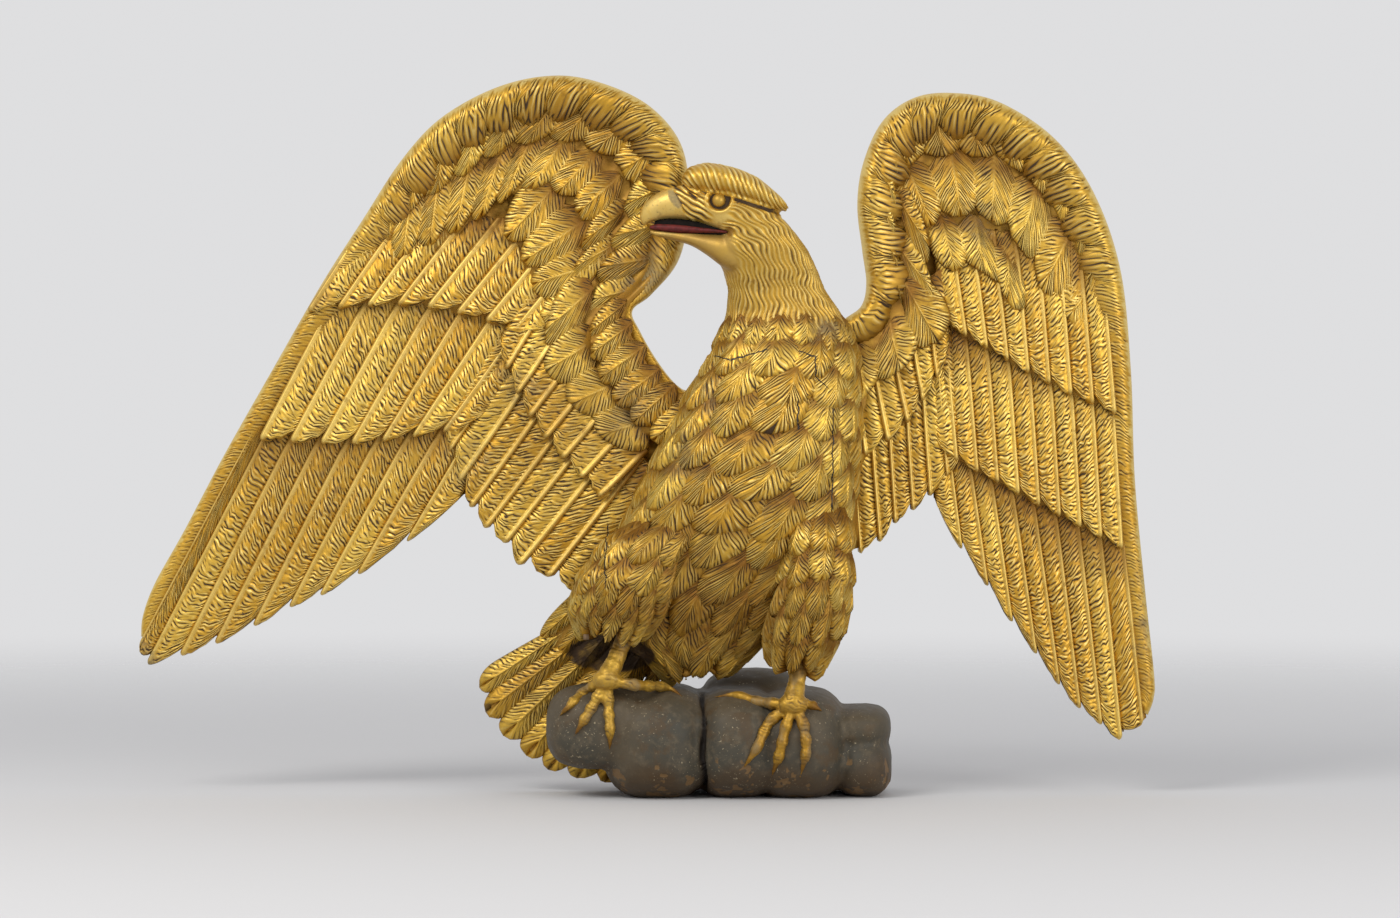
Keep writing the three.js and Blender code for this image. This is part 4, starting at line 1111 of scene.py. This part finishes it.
def makeGiltWear():
    tree = bpy.data.node_groups.new("giltWear", "ShaderNodeTree")
    for name in ("Cut", "Deep", "Tone", "Worn"):
        tree.interface.new_socket(name, in_out="INPUT", socket_type="NodeSocketFloat")
    tree.interface.new_socket("Vector", in_out="INPUT", socket_type="NodeSocketVector")
    tree.interface.new_socket("Color", in_out="OUTPUT", socket_type="NodeSocketColor")
    for name in ("Roughness", "Metallic", "Height"):
        tree.interface.new_socket(name, in_out="OUTPUT", socket_type="NodeSocketFloat")
    given = tree.nodes.new("NodeGroupInput").outputs
    out = tree.nodes.new("NodeGroupOutput")
    broad = addNoise(tree, given["Vector"], 5.0)
    middle = addNoise(tree, given["Vector"], 38.0, 4.0, 0.6)
    fine = addNoise(tree, given["Vector"], 260.0, 3.0, 0.6)
    warm = addStep(tree, addMath(tree, "ADD", addMath(tree, "MULTIPLY", given["Tone"], 0.35), broad), 0.42, 0.86)
    colour = addBlend(tree, warm, gilding["leaf"], gilding["leafDeep"])
    # paler where the cut value is low, on ridges and shafts: painted highlight, partly rubbed gilding
    rubbed = addMath(tree, "MULTIPLY", addStep(tree, given["Cut"], 0.46, 0.08), addStep(tree, middle, 0.25, 0.6, 0.45, 1.0))
    colour = addBlend(tree, addMath(tree, "MULTIPLY", rubbed, 0.75), colour, gilding["ridge"])
    # amber where the deep value is high: painted shade in the hollows, partly dirt
    hollowShadeAndDirt = addMath(tree, "MULTIPLY", given["Deep"], addStep(tree, middle, 0.2, 0.6, 0.55, 1.0))
    colour = addBlend(tree, hollowShadeAndDirt, colour, gilding["hollowShadeAndDirt"])
    ground = addMath(tree, "MULTIPLY", addStep(tree, middle, 0.58, 0.72), 0.55)
    colour = addBlend(tree, ground, colour, gilding["groundShows"])
    specks = addStep(tree, addMath(tree, "ADD", fine, addMath(tree, "MULTIPLY", given["Worn"], 0.22)), 0.66, 0.76)
    colour = addBlend(tree, addMath(tree, "MULTIPLY", specks, 0.6), colour, gilding["worn"])
    patchy = addMath(tree, "MULTIPLY", addMath(tree, "SUBTRACT", middle, 0.5), 1.1)
    worn = addStep(tree, addMath(tree, "ADD", given["Worn"], patchy), 0.25, 1.0)
    colour = addBlend(tree, addMath(tree, "MULTIPLY", worn, 0.75), colour, gilding["worn"])
    # near black in the barb cuts: dirt and painted shade
    cutDirtAndShade = addMath(tree, "MULTIPLY", addStep(tree, given["Cut"], 0.50, 0.80), addStep(tree, middle, 0.2, 0.55, 0.65, 1.0))
    colour = addBlend(tree, cutDirtAndShade, colour, gilding["cut"])
    dull = addMath(tree, "MAXIMUM", cutDirtAndShade, addMath(tree, "MULTIPLY", worn, 0.75))
    dull = addMath(tree, "MAXIMUM", dull, addMath(tree, "MULTIPLY", hollowShadeAndDirt, 0.35))
    rough = addMath(tree, "ADD", addMath(tree, "MULTIPLY", dull, 0.30), addMath(tree, "MULTIPLY", middle, 0.24))
    height = addMath(tree, "ADD", addMath(tree, "MULTIPLY", middle, 0.6), addMath(tree, "MULTIPLY", fine, 0.4))
    tree.links.new(colour, out.inputs["Color"])
    tree.links.new(addMath(tree, "ADD", rough, 0.32), out.inputs["Roughness"])
    tree.links.new(addMath(tree, "SUBTRACT", 0.72, addMath(tree, "MULTIPLY", dull, 0.68)), out.inputs["Metallic"])
    tree.links.new(height, out.inputs["Height"])
    return tree


# opened glue lines and splits: (runs along, from, to, place across at its start, at its end)
splits = [
    ("X", 0.112, 0.139, 0.736, 0.727), ("X", 0.139, 0.200, 0.727, 0.744), ("X", 0.252, 0.280, 0.741, 0.733),
    ("Z", 0.700, 0.734, 0.280, 0.279), ("Z", 0.680, 0.701, 0.300, 0.280), ("Z", 0.612, 0.669, 0.251, 0.249),
    ("Z", 0.480, 0.648, 0.307, 0.309), ("Z", 0.352, 0.455, -0.066, -0.065), ("Z", 0.664, 0.675, -0.390, -0.389),
]


def makeSplits():
    tree = bpy.data.node_groups.new("splitLines", "ShaderNodeTree")
    tree.interface.new_socket("Vector", in_out="INPUT", socket_type="NodeSocketVector")
    tree.interface.new_socket("Mask", in_out="OUTPUT", socket_type="NodeSocketFloat")
    vector = tree.nodes.new("NodeGroupInput").outputs["Vector"]
    out = tree.nodes.new("NodeGroupOutput")
    place = addNode(tree, "ShaderNodeSeparateXYZ", {0: vector}).outputs
    wobble = addMath(tree, "MULTIPLY", addMath(tree, "SUBTRACT", addNoise(tree, vector, 70.0, 3.0), 0.5), 0.010)
    mask = 0.0
    for axis, start, end, acrossStart, acrossEnd in splits:
        along, aside = place[axis], place["Z" if axis == "X" else "X"]
        slope = (acrossEnd - acrossStart) / (end - start)
        line = addMath(tree, "ADD", addMath(tree, "MULTIPLY", along, slope), acrossStart - slope * start)
        off = addMath(tree, "ABSOLUTE", addMath(tree, "ADD", addMath(tree, "SUBTRACT", aside, line), wobble), 0.0)
        ends = addMath(tree, "MULTIPLY", addStep(tree, along, start - 0.003, start + 0.003),
                       addStep(tree, along, end + 0.003, end - 0.003))
        mask = addMath(tree, "MAXIMUM", mask, addMath(tree, "MULTIPLY", addStep(tree, off, 0.0016, 0.0006), ends))
    tree.links.new(addMath(tree, "MULTIPLY", mask, addStep(tree, place["Y"], 0.0, -0.01)), out.inputs["Mask"])
    return tree


def makeGilding(name, wear, bump, splitLines=None, bareBack=False):
    material, nodes, links, shader = newMaterial(name)
    tree = material.node_tree
    coords = nodes.new("ShaderNodeTexCoord")
    group = nodes.new("ShaderNodeGroup")
    group.node_tree = wear
    links.new(coords.outputs["Object"], group.inputs["Vector"])
    for attribute in ("cut", "deep", "tone", "worn"):
        value = addNode(tree, "ShaderNodeAttribute", attribute_name=attribute)
        links.new(value.outputs["Fac"], group.inputs[attribute.capitalize()])
    colour, rough, metal, height = (group.outputs[name] for name in ("Color", "Roughness", "Metallic", "Height"))
    if splitLines:
        split = nodes.new("ShaderNodeGroup")
        split.node_tree = splitLines
        links.new(coords.outputs["Object"], split.inputs["Vector"])
        mask = split.outputs["Mask"]
        colour = addBlend(tree, mask, colour, (0.012, 0.006, 0.003, 1))
        metal = addMath(tree, "MULTIPLY", metal, addMath(tree, "SUBTRACT", 1.0, mask))
        height = addMath(tree, "SUBTRACT", height, addMath(tree, "MULTIPLY", mask, 2.0))
    if bareBack:
        back = addNode(tree, "ShaderNodeAttribute", attribute_name="tone").outputs["Fac"]
        back = addStep(tree, back, 1.2, 1.7)
        stretched = addNode(tree, "ShaderNodeMapping", {"Vector": coords.outputs["Object"], "Scale": (1, 1, 0.06)})
        grain = addNoise(tree, stretched.outputs["Vector"], 90.0, 5.0, 0.65)
        broad = addNoise(tree, coords.outputs["Object"], 6.0, 4.0)
        wood = addBlend(tree, addStep(tree, grain, 0.35, 0.65), (0.115, 0.066, 0.030, 1), (0.215, 0.132, 0.062, 1))
        wood = addBlend(tree, addStep(tree, broad, 0.42, 0.70, 0.0, 0.75), wood, (0.080, 0.050, 0.026, 1))
        place = addNode(tree, "ShaderNodeSeparateXYZ", {0: coords.outputs["Object"]}).outputs
        waver = addMath(tree, "MULTIPLY", grain, 0.004)
        board = addMath(tree, "PINGPONG", addMath(tree, "ADD", place["X"], addMath(tree, "ADD", waver, 10.02)), 0.108)
        seam = addStep(tree, board, 0.0022, 0.0008)
        wood = addBlend(tree, seam, wood, (0.018, 0.011, 0.007, 1))
        colour = addBlend(tree, back, colour, wood)
        metal = addMath(tree, "MULTIPLY", metal, addMath(tree, "SUBTRACT", 1.0, back))
        rough = addMath(tree, "MAXIMUM", rough, addMath(tree, "MULTIPLY", back, 0.72))
        marks = addMath(tree, "SUBTRACT", addMath(tree, "MULTIPLY", grain, 1.6), addMath(tree, "MULTIPLY", seam, 2.0))
        height = addMath(tree, "ADD", height, addMath(tree, "MULTIPLY", marks, back))
    links.new(colour, shader.inputs["Base Color"])
    links.new(rough, shader.inputs["Roughness"])
    links.new(metal, shader.inputs["Metallic"])
    bumpNode = addNode(tree, "ShaderNodeBump", {"Strength": 0.5, "Distance": bump, "Height": height})
    links.new(bumpNode.outputs["Normal"], shader.inputs["Normal"])
    return material


def makeRockPaint():
    material, nodes, links, shader = newMaterial("darkRockPaint")
    tree = material.node_tree
    vector = nodes.new("ShaderNodeTexCoord").outputs["Object"]
    deep = addNode(tree, "ShaderNodeAttribute", attribute_name="deep").outputs["Fac"]
    chips = addNode(tree, "ShaderNodeAttribute", attribute_name="worn").outputs["Fac"]
    seam = addNode(tree, "ShaderNodeAttribute", attribute_name="cut").outputs["Fac"]
    broad = addNoise(tree, vector, 8.0, 4.0)
    middle = addNoise(tree, vector, 60.0, 5.0, 0.65)
    fine = addNoise(tree, vector, 420.0, 3.0)
    colour = addBlend(tree, addStep(tree, broad, 0.35, 0.65), (0.084, 0.064, 0.038, 1), (0.052, 0.047, 0.034, 1))
    colour = addBlend(tree, addStep(tree, middle, 0.45, 0.7, 0.0, 0.7), colour, (0.120, 0.094, 0.060, 1))
    brown = addStep(tree, addNoise(tree, vector, 22.0, 5.0, 0.65), 0.50, 0.66, 0.0, 0.7)
    colour = addBlend(tree, brown, colour, (0.078, 0.048, 0.022, 1))
    colour = addBlend(tree, addMath(tree, "MULTIPLY", deep, 0.85), colour, (0.062, 0.034, 0.013, 1))
    dots = addMath(tree, "MULTIPLY", addStep(tree, addNoise(tree, vector, 260.0, 2.0), 0.65, 0.71),
                   addStep(tree, addNoise(tree, vector, 13.0, 3.0), 0.46, 0.62, 0.05, 0.9))
    colour = addBlend(tree, dots, colour, (0.33, 0.27, 0.17, 1))
    bare = addStep(tree, addMath(tree, "ADD", chips, addMath(tree, "MULTIPLY", middle, 0.5)), 0.66, 0.95)
    colour = addBlend(tree, addMath(tree, "MULTIPLY", bare, 0.75), colour, (0.175, 0.098, 0.036, 1))
    # painted shade, near black, in the seam between the boulders
    colour = addBlend(tree, addStep(tree, seam, 0.15, 0.8, 0.0, 0.9), colour, (0.012, 0.009, 0.007, 1))
    links.new(colour, shader.inputs["Base Color"])
    links.new(addStep(tree, middle, 0.3, 0.7, 0.52, 0.70), shader.inputs["Roughness"])
    shader.inputs["Specular IOR Level"].default_value = 0.3
    height = addMath(tree, "ADD", addMath(tree, "MULTIPLY", middle, 0.7), addMath(tree, "MULTIPLY", fine, 0.3))
    bumpNode = addNode(tree, "ShaderNodeBump", {"Strength": 0.45, "Distance": 0.0015, "Height": height})
    links.new(bumpNode.outputs["Normal"], shader.inputs["Normal"])
    return material


def makePaint(name, colour, colourWorn, roughness):
    material, nodes, links, shader = newMaterial(name)
    tree = material.node_tree
    vector = nodes.new("ShaderNodeTexCoord").outputs["Object"]
    mottle = addNoise(tree, vector, 120.0, 4.0, 0.6)
    links.new(addBlend(tree, addStep(tree, mottle, 0.4, 0.65), colour, colourWorn), shader.inputs["Base Color"])
    shader.inputs["Roughness"].default_value = roughness
    shader.inputs["Specular IOR Level"].default_value = 0.2
    bumpNode = addNode(tree, "ShaderNodeBump", {"Strength": 0.4, "Distance": 0.0006, "Height": mottle})
    links.new(bumpNode.outputs["Normal"], shader.inputs["Normal"])
    return material


wear = makeGiltWear()
gold = makeGilding("oldGilding", wear, 0.0009, makeSplits(), bareBack=True)
legGold = makeGilding("rubbedGilding", wear, 0.0028)
print("finishes mixed")
makeCore(gold)
for name, wing in (("left", leftWing), ("right", rightWing)):
    bm = bmesh.new()
    layers = featherLayers(bm)
    for index, row in enumerate(wing["rows"]):
        if row["kind"] != "leaf":
            addWingRow(bm, row, layers, index * 17.3)
    pieceFrom(bm, f"{name}_wing_quills", gold, "eagle")
    bm = bmesh.new()
    layers = featherLayers(bm)
    for index, row in enumerate(wing["rows"]):
        if row["kind"] == "leaf":
            addWingRow(bm, row, layers, 100 + index * 17.3)
    addRim(bm, wing, layers, 3.3)
    pieceFrom(bm, f"{name}_wing_coverts", gold, "eagle")
bm = bmesh.new()
layers = featherLayers(bm)
addClothing(bm, "breast", bodySections, breastRows, math.pi * 1.02, -math.pi * 0.02, 0.25, layers, 400)
addClothing(bm, "breast", leftThighSections, leftThighRows, math.pi * 1.1, 0, 0.1, layers, 500)
addClothing(bm, "breast", rightThighSections, rightThighRows, math.pi * 1.15, -math.pi * 0.15, 0.1, layers, 600)
pieceFrom(bm, "breast_feathers", gold, "eagle")
makeTail(gold)
print("feathers carved")
makeHead(gold)
makeEyes(makeGilding("eyeGilding", wear, 0.0004))
# the second paint is the painted shade inside the mouth
makeMouth(makePaint("tongueRed", (0.13, 0.020, 0.018, 1), (0.070, 0.013, 0.012, 1), 0.5),
          makePaint("mouthShadePaint", (0.004, 0.003, 0.002, 1), (0.008, 0.005, 0.004, 1), 0.95))
print("head carved")
rockPiece = makeRock(makeRockPaint())
rockTree = BVHTree.FromPolygons([v.co for v in rockPiece.data.vertices],
                                [tuple(p.vertices) for p in rockPiece.data.polygons])
for name in ("leg_left", "leg_right"):
    makeLeg(name, rockTree, legGold)
print("legs and rock made")

camera = bpy.data.objects.new("camera", bpy.data.cameras.new("camera"))
bpy.context.scene.collection.objects.link(camera)
camera.location = (0.0893, -7.0, 0.5641)
camera.rotation_euler = (math.radians(90), 0, 0)
camera.data.sensor_width = 36
camera.data.lens = 18 / (1.169 / 6.955)
camera.data.clip_end = 100
bpy.context.scene.camera = camera
bpy.context.scene.view_settings.view_transform = "Standard"


def addAreaLight(name, place, target, size, power, colour):
    light = bpy.data.objects.new(name, bpy.data.lights.new(name, "AREA"))
    light.data.shape = "RECTANGLE"
    light.data.size, light.data.size_y = size
    light.data.energy = power
    light.data.color = colour
    light.location = place
    light.rotation_euler = (Vector(target) - Vector(place)).to_track_quat("-Z", "Y").to_euler()
    bpy.context.scene.collection.objects.link(light)


addAreaLight("keyLight", (-2.4, -3.4, 3.6), (0, 0, 0.6), (2.4, 2.0), 118, (1, 0.98, 0.94))
addAreaLight("fillLight", (3.6, -4.2, 1.6), (0, 0, 0.6), (2.4, 2.4), 100, (1, 0.98, 0.95))
world = bpy.data.worlds.new("studio")
world.use_nodes = True
world.node_tree.nodes["Background"].inputs["Color"].default_value = (0.80, 0.80, 0.81, 1)
world.node_tree.nodes["Background"].inputs["Strength"].default_value = 0.92
bpy.context.scene.world = world

bm = bmesh.new()
bmesh.ops.create_grid(bm, x_segments=1, y_segments=1, size=40)
mesh = bpy.data.meshes.new("floor")
bm.to_mesh(mesh)
bm.free()
floor = bpy.data.objects.new("floor", mesh)
bpy.context.scene.collection.objects.link(floor)
floorPaint, nodes, links, shader = newMaterial("floorPaint")
shader.inputs["Base Color"].default_value = (0.60, 0.60, 0.61, 1)
shader.inputs["Roughness"].default_value = 0.9
shader.inputs["Specular IOR Level"].default_value = 0.1
away = addNode(floorPaint.node_tree, "ShaderNodeVectorMath", {0: nodes.new("ShaderNodeTexCoord").outputs["Object"]},
               operation="LENGTH")
links.new(addStep(floorPaint.node_tree, away.outputs["Value"], 1.2, 7.0, 1.0, 0.0), shader.inputs["Alpha"])
mesh.materials.append(floorPaint)
